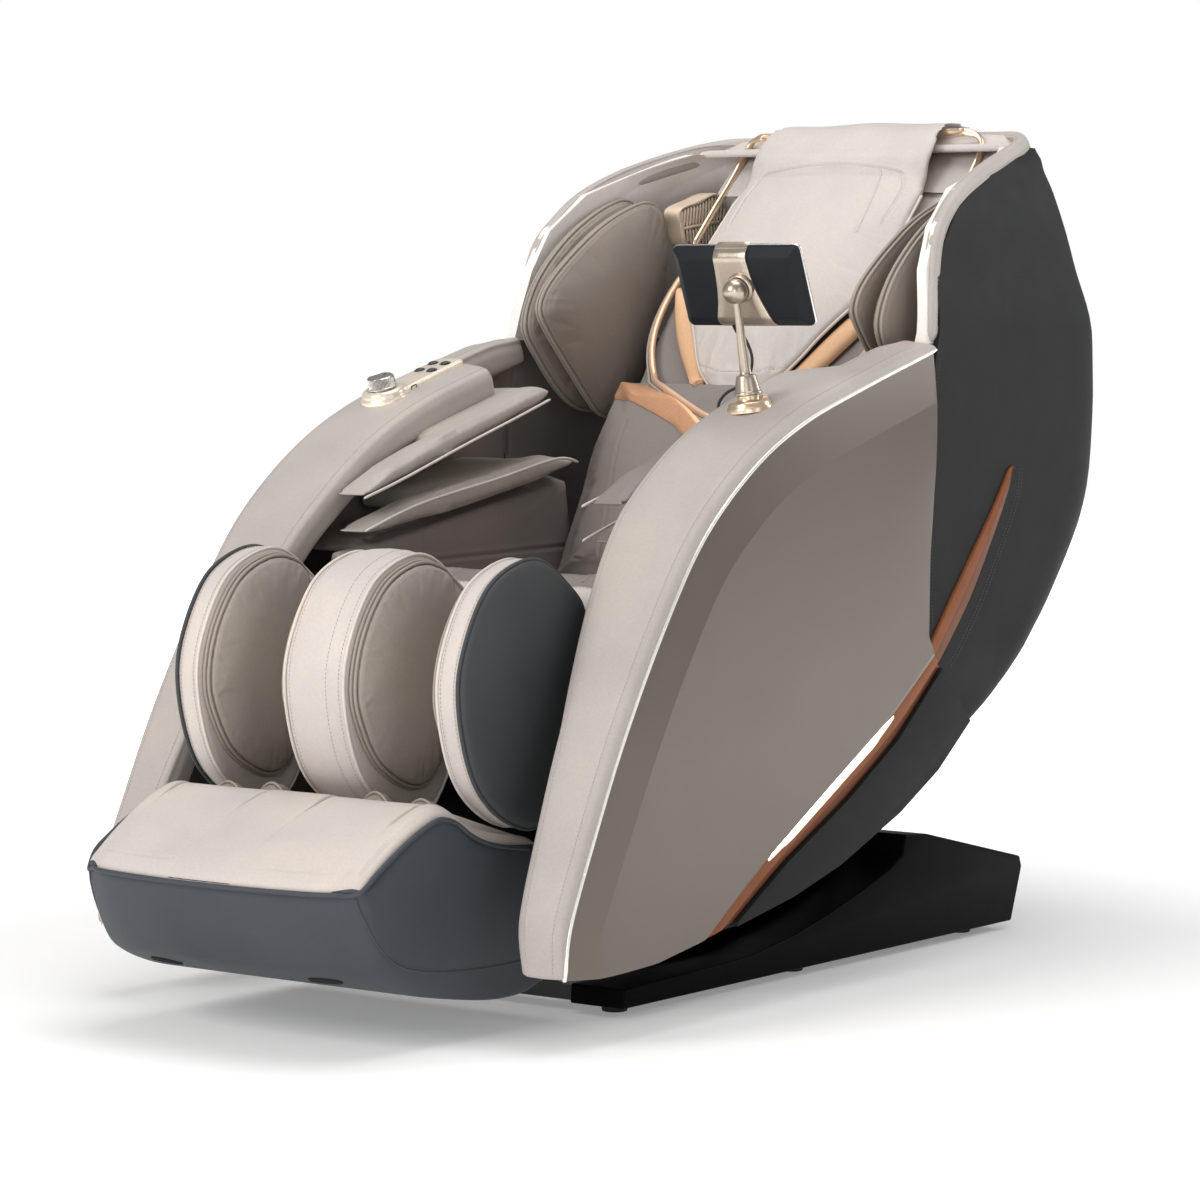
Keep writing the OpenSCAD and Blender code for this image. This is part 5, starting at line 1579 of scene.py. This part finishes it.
def speakers():
    outline = [(560, 1010), (548, 1038), (542, 1064), (590, 1080), (640, 1092), (664, 1078), (672, 1060), (660, 1032),
               (640, 1010), (600, 1006)]
    line = resample(ring(outline, 8), 90, closed=True)
    c = (606, 1048)
    for k, side in SIDES:
        v, f = disc(line, [(4, 0.9, 281), (4, 0, 281), (0, 0, 278), (0, 0, 254), (1.2, 0, 251.2), (3.5, 0, 250),
                           (6.5, 0, 250.6), (7.6, 0, 252.5), (8.2, 0, 255.6), (9, 0.05, 256), (9, 0.9, 256)],
                    centre=c)
        o = build(f"speaker_frame_{side}", [(x * k, y, z) for x, y, z in v], f, grille, sharp=40)
        o.data.materials.append(taupe)
        for p in o.data.polygons:
            q = p.center * 1e3
            p.material_index = 1 if 255 < abs(q.x) < 257 and -p.normal.x * k > 0.5 else 0
        piece(o, "backrest", ("speakers",) if k > 0 else ())
        ribs = Bag()
        inside = [Vector(p) for p in inset(line, 8.5, c)]

        def span(y):
            zs = []
            for a, b in zip(inside, inside[1:] + inside[:1]):
                if (a.x - y) * (b.x - y) < 0:
                    zs.append(a.y + (b.y - a.y) * (y - a.x) / (b.x - a.x))
            return (min(zs), max(zs)) if len(zs) > 1 else None
        for i in range(-7, 8):
            y = 606 + i * 8.0
            zz = span(y)
            if not zz:
                continue
            split = 1042 + (y - 606) * 0.12
            for a, b in ((zz[0], split - 3), (split + 3, zz[1])):
                if b - a < 6:
                    continue
                path = [(252.4 * k, y + 3.5 * (s / 6 - 0.5) * (1 if a > split else -1),
                         a + (b - a) * s / 6) for s in range(7)]
                ribs.tube(path, 2.3, sides=8)
        ribs.tube([(253 * k, 556 + s * 10, 1042 + (556 + s * 10 - 606) * 0.12) for s in range(11)], 3.4, sides=8,
                  up=(k, 0, 0), flat=1.0)
        piece(ribs.make(f"speaker_ribs_{side}", grille), "backrest")


speakers()


def head_trim():
    side = [(214, 530, 1010), (214, 575, 1056), (214, 622, 1102), (213, 654, 1138), (210, 667, 1158),
            (200, 669, 1171), (178, 664, 1176), (150, 662, 1175)]
    route = resample(curve(side + mirror(side)[::-1], 8), 220)
    bag = Bag()
    bag.tube(route, 6.6, sides=16, flat=0.6, up=[(p[0] * 0.2, -1, 0.35) for p in route])
    piece(bag.make("head_trim_arc", gold), "backrest", ("head_trim",))
    rows = []
    top, low = resample(curve([(262, 448), (317, 510), (422, 625), (470, 684), (482, 692)], 8),
                        50), resample(curve([(284, 424), (300, 432), (383, 521), (471, 651), (482.5, 691)], 8), 50)
    for a, b in zip(top, low):
        a, b = Vector(a), Vector(b)
        rows.append([(376.2, *a), (378.4, *a.lerp(b, 0.01)), (379.8, *a.lerp(b, 0.07)), (380.3, *a.lerp(b, 0.5)),
                     (379.2, *a.lerp(b, 0.66)),
                     (377.4, *a.lerp(b, 0.95)), (376.2, *b)])
    v, f = grid(rows, closed_cols=True, cap=True)
    C = len(rows[0])
    # faces of the strip's lower facet, which take the darker copper as painted shade
    dark = [1 if (i % C) in (3, 4) and i < 49 * C else 0 for i in range(len(f))]
    for k, side in SIDES:
        o = build(f"shell_strip_{side}", [(x * k, y, z) for x, y, z in v], f, [copper, copper_painted_shade], dark, sharp=14)
        piece(o, "backrest", ("shell_light_strips",) if k > 0 else ())


head_trim()


def shell_lining():
    """Fabric inside the shell beside the sitter, below the hood."""
    rows = [r for r in fine_rows(SHELL) if 560 < r[0] < 884]
    outer, inner = [], []
    for r in rows:
        for t, out in ((10, outer), (17, inner)):
            out.append(resample(section(r, t, front=r[3] - 2), 150))
    v, f = sheet_between(outer, inner)
    o = build("shell_lining_fabric", v, f, taupe_mid, sharp=60)
    piece(o, "backrest")


shell_lining()


# ---------------------------------------------------------------- seat, inner walls, arm flaps
def seat_parts():
    o = from_node("seat_cushion_soft", "seat_cushion", taupe_mid, 7, 4.0, 11, shrink=3,
                  keep=lambda x, y, z: z < 455 or y < -238)
    o.data.materials.append(beige)
    for p in o.data.polygons:
        c = p.center * 1e3
        p.material_index = 1 if c.y < -203 and c.z > 478 else 0
    lines = [[(x, -203, 556 - abs(x) * 0.01) for x in range(-205, 206, 5)],
             [(x, -60, 545) for x in range(-205, 206, 5)],
             [(120, y, 552 - (y + 190) * 0.2) for y in range(-195, 60, 5)],
             [(-120, y, 552 - (y + 190) * 0.2) for y in range(-195, 60, 5)]]
    tree = surface(o)
    fitted = []
    for l in lines:
        p = []
        for q in l:
            hit, n, _, _ = tree.ray_cast(Vector((q[0], q[1], 700)) * 1e-3, Vector((0, 0, -1)))
            if hit is not None:
                p.append(tuple(hit * 1e3))
        fitted.append(p)
    groove(o, fitted, 2.6, 2.4, 0.8)
    piece(o, "seat", ("seat_cushion",))
    tree = surface(o)
    threads = Bag()
    for l in fitted:
        p, n = onto(tree, [(x, y - 7, z) for x, y, z in l])
        threads.stitches(p, n, pitch=6, length=4, r=0.45)
    piece(threads.make("seat_stitches", thread_taupe), "seat")


seat_parts()


def arm_inside():
    upper = [(-296, 652), (-200, 680), (-60, 724), (60, 760), (144, 788), (138, 804), (50, 779), (-70, 744),
             (-210, 698)]
    lower = [(-300, 604), (-150, 626), (20, 652), (150, 678), (215, 692), (150, 702), (10, 677), (-160, 649)]
    wall = from_node("inner_wall_form", "inner_wall_left", taupe_mid, 6, 3.5, 4, shrink=1.5)
    flap = from_node("arm_flap_form", "arm_airbags_left", flap_taupe_painted_light, 4.5, 4.2, 6, shrink=2.2)
    wl = [[(214, y, 640 + (y + 260) * 0.13) for y in range(-250, 216, 6)],
          [(214, y, 560 + (y + 280) * 0.02) for y in range(-270, 220, 6)]]
    groove(wall, wl, 3, 2.6, 0.8)
    groove(flap, [[(184, *q) for q in resample(ring(upper, 6), 260, True)],
                  [(184, *q) for q in resample(ring(lower, 6), 260, True)]], 1.6, 0.6, 0.3)
    pipes, threads = Bag(), Bag()
    for k, side in SIDES:
        piece(copy_of(wall, f"inner_wall_{side}_cover", (lambda x, y, z: (x * k, y, z)), k < 0), "seat",
              (f"inner_wall_{side}",))
        lining = copy_of(flap, f"arm_flap_{side}", (lambda x, y, z: (x * k, y, z)), k < 0)
        # both flaps are one leather: the left flap takes the back leather, and the right flap keeps the lighter copy,
        # which is painted light
        if k > 0:
            lining.data.materials.clear()
            lining.data.materials.append(taupe_mid)
        piece(lining, "seat", (f"arm_airbags_{side}",))
        low_u = resample(curve([(-282, 659), (-200, 682), (-60, 726), (60, 762), (134, 785)], 8), 90)
        top_l = resample(curve([(-280, 614), (-160, 647), (10, 675), (148, 699), (200, 693)], 8), 90)
        for line in (low_u, top_l):
            pipes.tube([(185.6 * k, *p) for p in line], 2.1, sides=8)
        for line, d in ((low_u, 9), (top_l, -9)):
            pts = [(183 * k, *p) for p in beside(line, d)][4:-4]
            threads.stitches(pts, [Vector((-k, 0, 0))] * len(pts), pitch=5.5, length=3.6, r=0.4)
    piece(pipes.make("arm_flap_piping", beige_light), "seat")
    for o in (wall, flap):
        bpy.data.objects.remove(o)


def arm_lining():
    """Thin lining that closes the arm slot behind the armrest's end."""
    line = resample([(62, 700), (62, 790), (110, 820), (170, 844), (232, 858), (282, 856), (282, 700)], 90,
                    closed=True)
    for k, side in SIDES:
        v, f = disc(line, [(8, 0.9, 371), (8, 0, 371), (0, 0, 370), (0, 0, 367), (1, 0, 366), (8, 0, 365.4),
                           (8, 0.9, 365.4)], centre=(170, 770))
        piece(build(f"arm_slot_lining_{side}", [(x * k, y, z) for x, y, z in v], f, taupe, sharp=50), "seat")


arm_inside()
arm_lining()


# ---------------------------------------------------------------- turned and moulded parts
def along(origin, axis):
    """Places points in a frame whose third direction is the axis."""
    o, z = Vector(origin), Vector(axis).normalized()
    x = Vector((1, 0, 0)) if abs(z.x) < 0.9 else Vector((0, 1, 0))
    x = (x - z * x.dot(z)).normalized()
    y = z.cross(x)
    return lambda a, b, c: tuple(o + x * a + y * b + z * c)


def turned(profile, place, n=72, ribs=0, depth=0.0, ribbed=()):
    rows = []
    for k, (r, h) in enumerate(profile):
        d = depth if k in ribbed else 0.0
        rows.append([place((r - d * (0.5 - 0.5 * math.cos(ribs * t))) * math.cos(t),
                           (r - d * (0.5 - 0.5 * math.cos(ribs * t))) * math.sin(t), h)
                     for t in (2 * math.pi * i / n for i in range(n))])
    return grid(rows, closed_cols=True, cap=True)


def rounded(w, h, r, n=7):
    """Rounded rectangle, half sizes w and h."""
    out = []
    for cx, cy, a0 in ((w - r, h - r, 0), (-w + r, h - r, 90), (-w + r, -h + r, 180), (w - r, -h + r, 270)):
        out += [(cx + r * math.cos(math.radians(a0 + 90 * i / n)),
                 cy + r * math.sin(math.radians(a0 + 90 * i / n))) for i in range(n + 1)]
    return out


LEAN = math.radians(22)


def tab(x, y, z):
    return (290 + x, -65.06 + y * math.cos(LEAN) - z * math.sin(LEAN),
            947.0 + y * math.sin(LEAN) + z * math.cos(LEAN))


def tablet():
    W, H = 102, 57
    rows = [[tab(x, y, z) for x, z in rounded(W - i, H - i, max(9 - i * 0.5, 3))] for i, y in
            ((6.2, 5.0), (6.2, 7.6), (5.2, 8), (1.2, 8), (0.3, 7.2), (0, 6), (0, 1.2), (0.8, 0.1), (2, -0.8),
             (7, -4.6), (12.6, -8.9), (14.2, -9.8), (16.5, -10))]
    v, f = grid(rows, closed_cols=True, cap=True)
    piece(build("tablet_case", v, f, tablet_black, sharp=24), "tablet", ("tablet_housing",))
    rows = [[tab(x, y, z) for x, z in rounded(W - i, H - i, 9.4)] for i, y in
            ((-0.4, 3.0), (-0.9, 3.8), (-1.0, 6.4), (-0.5, 7.6), (0.6, 8.2), (2.2, 8.3), (2.2, 7.2), (0.7, 6.2),
             (0.6, 3.2))]
    v, f = grid(rows, closed_rows=True, closed_cols=True)
    piece(build("tablet_bezel", v, f, silver, sharp=50), "tablet")
    rows = [[tab(x, y, z) for x, z in rounded(95.5 - i, 50.5 - i, 3)] for i, y in ((0, 5.1), (0, 7.6), (0.6, 8.0))]
    v, f = grid(rows, closed_cols=True, cap=True)
    piece(build("tablet_glass", v, f, screen_black, sharp=30), "tablet", ("tablet_screen",))
    tiles, bars = Bag(), Bag()
    for i in range(4):
        for j in range(2):
            rows = [[tab(x - 60 + 40 * i, y, z + 14 - 36 * j) for x, z in rounded(15, 13, 4)] for y in (7.9, 8.25)]
            tiles.add(*grid(rows, closed_cols=True, cap=True))
    for x0, z0, w, h in ((-62, 39, 14, 2.5), (66, 39, 8, 2.5), (0, -42, 40, 2)):
        rows = [[tab(x + x0, y, z + z0) for x, z in rounded(w, h, h * 0.9)] for y in (7.9, 8.25)]
        bars.add(*grid(rows, closed_cols=True, cap=True))
    piece(tiles.make("screen_tiles", screen_tile), "tablet")
    piece(bars.make("screen_bars", screen_bar), "tablet")
    # strap that widens downwards, with the ball's seat
    outer = resample([(8, 60), (2, 57.5), (-8, 51), (-11.5, 46), (-13, 41), (-13.4, 0), (-13, -41), (-11.5, -46),
                      (-8, -51), (2, -57.5), (8, -60)], 70)
    inner = resample([(9, 57.3), (0, 57.3), (-6, 50.5), (-10.2, 43.5), (-10.3, 0), (-10.2, -43.5), (-6, -50.5),
                      (0, -57.3), (9, -57.3)], 70)
    left = [(-60, -46), (-43, -44), (-20, -37), (0, -33), (25, -30.5), (43, -30), (60, -30)]
    right = [(-60, 46), (-43, 43), (-20, 34), (0, 27.5), (20, 24), (43, 22), (60, 22)]
    rows = []
    for a, b in zip(outer, inner):
        xl, xr = table(a[1], left), table(a[1], right)
        o, i = Vector(a), Vector(b)
        row = [(xl, i), (xl, i.lerp(o, 0.7)), (xl + 1.2, o)] + [(xl + (xr - xl) * s,
                o + (o - i).normalized() * 0.3) for s in (0.2, 0.4, 0.6, 0.8)] + \
              [(xr - 1.2, o), (xr, i.lerp(o, 0.7)), (xr, i), (xl + (xr - xl) * 0.5, i)]
        rows.append([tab(x, p.x, p.y) for x, p in row])
    bag = Bag()
    bag.add(*grid(rows, closed_cols=True, cap=True))
    seat = lambda a, b, c: tab(7 + a, -12.9 - c, 3.6 + b)
    bag.add(*turned([(0.1, -0.6), (20.4, -0.6), (20.4, 0.4), (20, 4.4), (19.2, 6.0), (17.8, 7.0), (16.6, 7.2),
                     (15.6, 6.7), (14.2, 4.8), (12.4, 2.8),
                     (8.8, 0.2), (0.1, 0.2)], seat, 72))
    piece(bag.make("tablet_strap", brushed_gold, sharp=40), "tablet", ("tablet_clamp",))


screen_tile = glow("screen tile", (0.16, 0.30, 0.36), 0.5)
screen_bar = glow("screen bar", (0.55, 0.52, 0.46), 0.5)
tablet()


def mast():
    foot, up = (310, -76, 785), (-13, -16, 155)
    at = along(foot, up)
    L = math.sqrt(13 ** 2 + 16 ** 2 + 155 ** 2)
    ball = [(17 * math.cos(a), L + 17 * math.sin(a)) for a in (math.radians(-73 + 162.5 * i / 30) for i in range(31))]
    v, f = turned([(0.1, 4), (8, 4), (8, 18.2), (18.4, 18.5), (19, 19.3), (19, 21.4), (18.3, 22.6), (17.4, 23.4),
                   (15.8, 32), (14, 40), (13.2, 43.4),
                   (12.4, 44.5), (9.2, 45.1), (8.3, 46), (7.6, 49), (7.1, 62), (6.5, 80), (5.8, 100), (5.2, 120),
                   (4.9, 134)] + ball, at, 80)
    piece(build("tablet_mast_rod", v, f, brushed_gold, sharp=34), "tablet_mast", ("tablet_mast",))
    v, f = turned([(0.1, -4), (31, -4), (31, 1.4), (30.4, 2.6), (29, 3.2), (28.6, 4), (28, 7), (27, 8.9), (25.2, 10),
                   (17, 10.5), (15.6, 11.2), (15, 12.6),
                   (15, 17.4), (14.4, 17.9), (8.3, 17.9), (8.2, 4), (0.1, 4)], at, 80)
    piece(build("tablet_flange_turned", v, f, gold, sharp=34), "seat", ("tablet_flange",))
    knob = along(Vector(at(0, 0, 13.6)) + Vector((0.8, 0.6, 0)) * 13, (0.8, 0.6, 0))
    v, f = turned([(0.1, 0), (2.3, 0), (2.3, 5), (4.8, 5.3), (5.2, 6), (5.2, 11.4), (4.7, 12.2), (0.1, 12.3)], knob,
                  96, ribs=24, depth=0.5, ribbed=(4, 5))
    piece(build("flange_screw", v, f, gold, sharp=34), "seat")


mast()


def pod():
    A = math.radians(17)
    at = lambda x, y, z: (-325 + x, -25 + y * math.cos(A) - z * math.sin(A), 802 + y * math.sin(A) + z * math.cos(A))
    dial = lambda a, b, c: at(a, b - 48, c)
    bag = Bag()
    bag.add(*turned([(0.1, -4), (34, -4), (34, 2.4), (33.4, 4.2), (31.8, 5.6), (31.2, 7.4), (30.8, 9.8), (30, 12),
                     (28.6, 14), (26.6, 15.5), (22.8, 16),
                     (22, 15.2), (4.4, 15), (4.2, 7), (0.1, 7)], dial, 96))
    line = [(-24, -50), (24, -50)] + [(24, -50 + 12 * i) for i in range(1, 11)]
    line += [(16 + 8 * math.cos(math.radians(t)), 106 + 8 * math.sin(math.radians(t))) for t in range(0, 91, 15)]
    line += [(-16 + 8 * math.cos(math.radians(t)), 106 + 8 * math.sin(math.radians(t))) for t in range(90, 181, 15)]
    line += [(-24, 106 - 12 * i) for i in range(1, 13)]
    rows = []
    for i, h in ((0, -4), (0, 6), (0.7, 8.2), (2.2, 9.6), (4.5, 10.1), (12, 10.5), (20, 10.7)):
        rows.append([at(x * (24 - i) / 24, 28 + (y - 28) * (86 - i) / 86, h) for x, y in line])
    bag.add(*grid(rows, closed_cols=True, cap=True))
    piece(bag.make("controller_pod_body", pale_gold, sharp=36), "seat", ("controller_pod",))
    gaskets = Bag()
    places = {1: (-11, 52), 2: (11, 52), 3: (-11, 84), 4: (11, 84)}
    for i, (bx, by) in places.items():
        here = lambda a, b, c: at(bx + a, by + b, c)
        gaskets.add(*turned([(0.1, 8), (8.2, 8), (8.2, 10.9), (7.6, 11.2), (6.9, 10.9), (6.7, 9.4), (0.1, 9.4)], here,
                            48))
        v, f = turned([(0.1, 7.5), (6.4, 7.5), (6.4, 11.8), (6.0, 12.6), (5.0, 13), (3, 12.7), (0.1, 12.5)],
                      lambda a, b, c: here(a, b * 0.94, c), 48)
        piece(build(f"pod_button_{i}", v, f, button_black, sharp=50), f"button_{i}", (f"button_{i}",))
    piece(gaskets.make("pod_gaskets", matte_black), "seat")
    rows = [[at(h, -8 + x, 4.6 + z) for x, z in rounded(6.4 - i, 3.4 - i, 1.6)]
            for i, h in ((0, 22), (0, 24.5), (0.5, 24.9), (1.0, 24.6), (1.2, 20))]
    v, f = grid(rows, closed_cols=True, cap=True)
    piece(build("pod_socket", v, f, matte_black, sharp=40), "seat")
    v, f = turned([(0.1, 16.5), (20.4, 16.5), (21, 17.2), (21, 19), (20.4, 19.6), (20.3, 20.2), (20, 25), (19.6, 30),
                   (19.3, 31.6), (18.9, 32.6),
                   (18.2, 33.5), (17.2, 34.1), (16.4, 34.2), (15.8, 33.8), (15.2, 33.6), (0.1, 33.5)], dial, 360,
                   ribs=60, depth=1.5, ribbed=(5, 6, 7, 8))
    piece(build("dial_knob", v, f, dial_silver, sharp=30), "control_dial", ("control_dial",))
    mark = Bag()
    mark.tube([dial(0, 8 + i, 33.7) for i in range(7)], 0.9, sides=10, flat=0.5, up=(0, -0.29, 0.956))
    piece(mark.make("dial_mark", matte_black), "control_dial")


dial_silver = metal("dial silver", (0.62, 0.60, 0.57), rough=(0.22, 0.32), line=0.2)
pod()


# ---------------------------------------------------------------- base and lower shell
def clean_copy(name, node, mat, width, angle=30, segments=3):
    """The CAD solid with its edges rounded over."""
    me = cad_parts[node].data.copy()
    me.materials.clear()
    me.materials.append(mat)
    o = bpy.data.objects.new(name, me)
    scene.collection.objects.link(o)
    bm = bmesh.new()
    bm.from_mesh(me)
    bmesh.ops.remove_doubles(bm, verts=bm.verts, dist=1e-5)
    bmesh.ops.dissolve_limit(bm, angle_limit=math.radians(1.5), verts=bm.verts, edges=bm.edges)
    bmesh.ops.recalc_face_normals(bm, faces=bm.faces)
    bm.to_mesh(me)
    bm.free()
    return bevelled(o, width, segments, angle)


piece(clean_copy("base_cover_moulded", "base_cover", gloss_black, 3.0, 24, 4), "base", ("base_cover",))
piece(clean_copy("lower_shell_moulded", "lower_shell", charcoal_shell, 1.6, 40), "seat",
      ("lower_shell",))
piece(clean_copy("base_feet_moulded", "base_feet", rubber, 2.0, 40), "base", ("base_feet",))


# ---------------------------------------------------------------- floor and light
def make_floor():
    m = Mat("studio floor")
    far = m.node("VectorMath", {"operation": "LENGTH"})
    m.nt.links.new(m.co, far.inputs[0])
    m.set(Base_Color=m.ramp(m.noise(0.7, 2), [(0.3, (0.86,) * 3), (0.7, (0.88,) * 3)]),
          Roughness=m.remap(m.noise(3, 2), 0.6, 0.75),
          Specular_IOR_Level=0.2, Emission_Color=(1, 1, 1), Emission_Strength=m.remap(far.outputs["Value"], 0.22, 1.1,
                  0.9, 3.2))
    v, f = grid([[(x * 500, y * 500, 0.0) for x in range(-24, 25)] for y in range(-24, 25)])
    floor = build("floor", v, f, m.m, fix=False)


make_floor()
world = bpy.data.worlds.new("studio")
scene.world = world
world.use_nodes = True
wn = world.node_tree
bg = wn.nodes["Background"]
bg.inputs["Color"].default_value = (1.0, 1.0, 1.0, 1)
bg.inputs["Strength"].default_value = 0.30
shown_bg = wn.nodes.new("ShaderNodeBackground")
shown_bg.inputs["Color"].default_value = (1.0, 1.0, 1.0, 1)
mix, path = wn.nodes.new("ShaderNodeMixShader"), wn.nodes.new("ShaderNodeLightPath")
wn.links.new(path.outputs["Is Camera Ray"], mix.inputs[0])
wn.links.new(bg.outputs[0], mix.inputs[1])
wn.links.new(shown_bg.outputs[0], mix.inputs[2])
wn.links.new(mix.outputs[0], wn.nodes["World Output"].inputs["Surface"])
scene.view_settings.view_transform = "Standard"
scene.view_settings.look = "None"


def area(name, at, to, size, power, color=(1, 1, 1), spread=180):
    light = bpy.data.lights.new(name, "AREA")
    light.shape, light.size, light.size_y = "RECTANGLE", size[0], size[1]
    light.energy, light.color, light.spread = power, color, math.radians(spread)
    o = bpy.data.objects.new(name, light)
    scene.collection.objects.link(o)
    o.location = at
    o.rotation_mode = "QUATERNION"
    o.rotation_quaternion = (Vector(to) - Vector(at)).to_track_quat("-Z", "Y")


area("key", (-1.2, -4.8, 3.0), (0, 0, 0.55), (2.2, 2.2), 140, (1, 0.985, 0.96))
area("front fill", (2.4, -4.6, 1.5), (0, 0.2, 0.8), (1.8, 1.8), 28, (1, 0.99, 0.97))
area("top", (0.2, 0.2, 4.0), (0, 0, 0.5), (3.0, 2.6), 75)
area("side fill", (4.6, -1.6, 2.0), (0, 0, 0.5), (1.6, 2.6), 16, (0.97, 0.99, 1.0))
area("rear rim", (2.4, 3.8, 2.6), (0, 0.2, 0.7), (1.2, 2.4), 50)
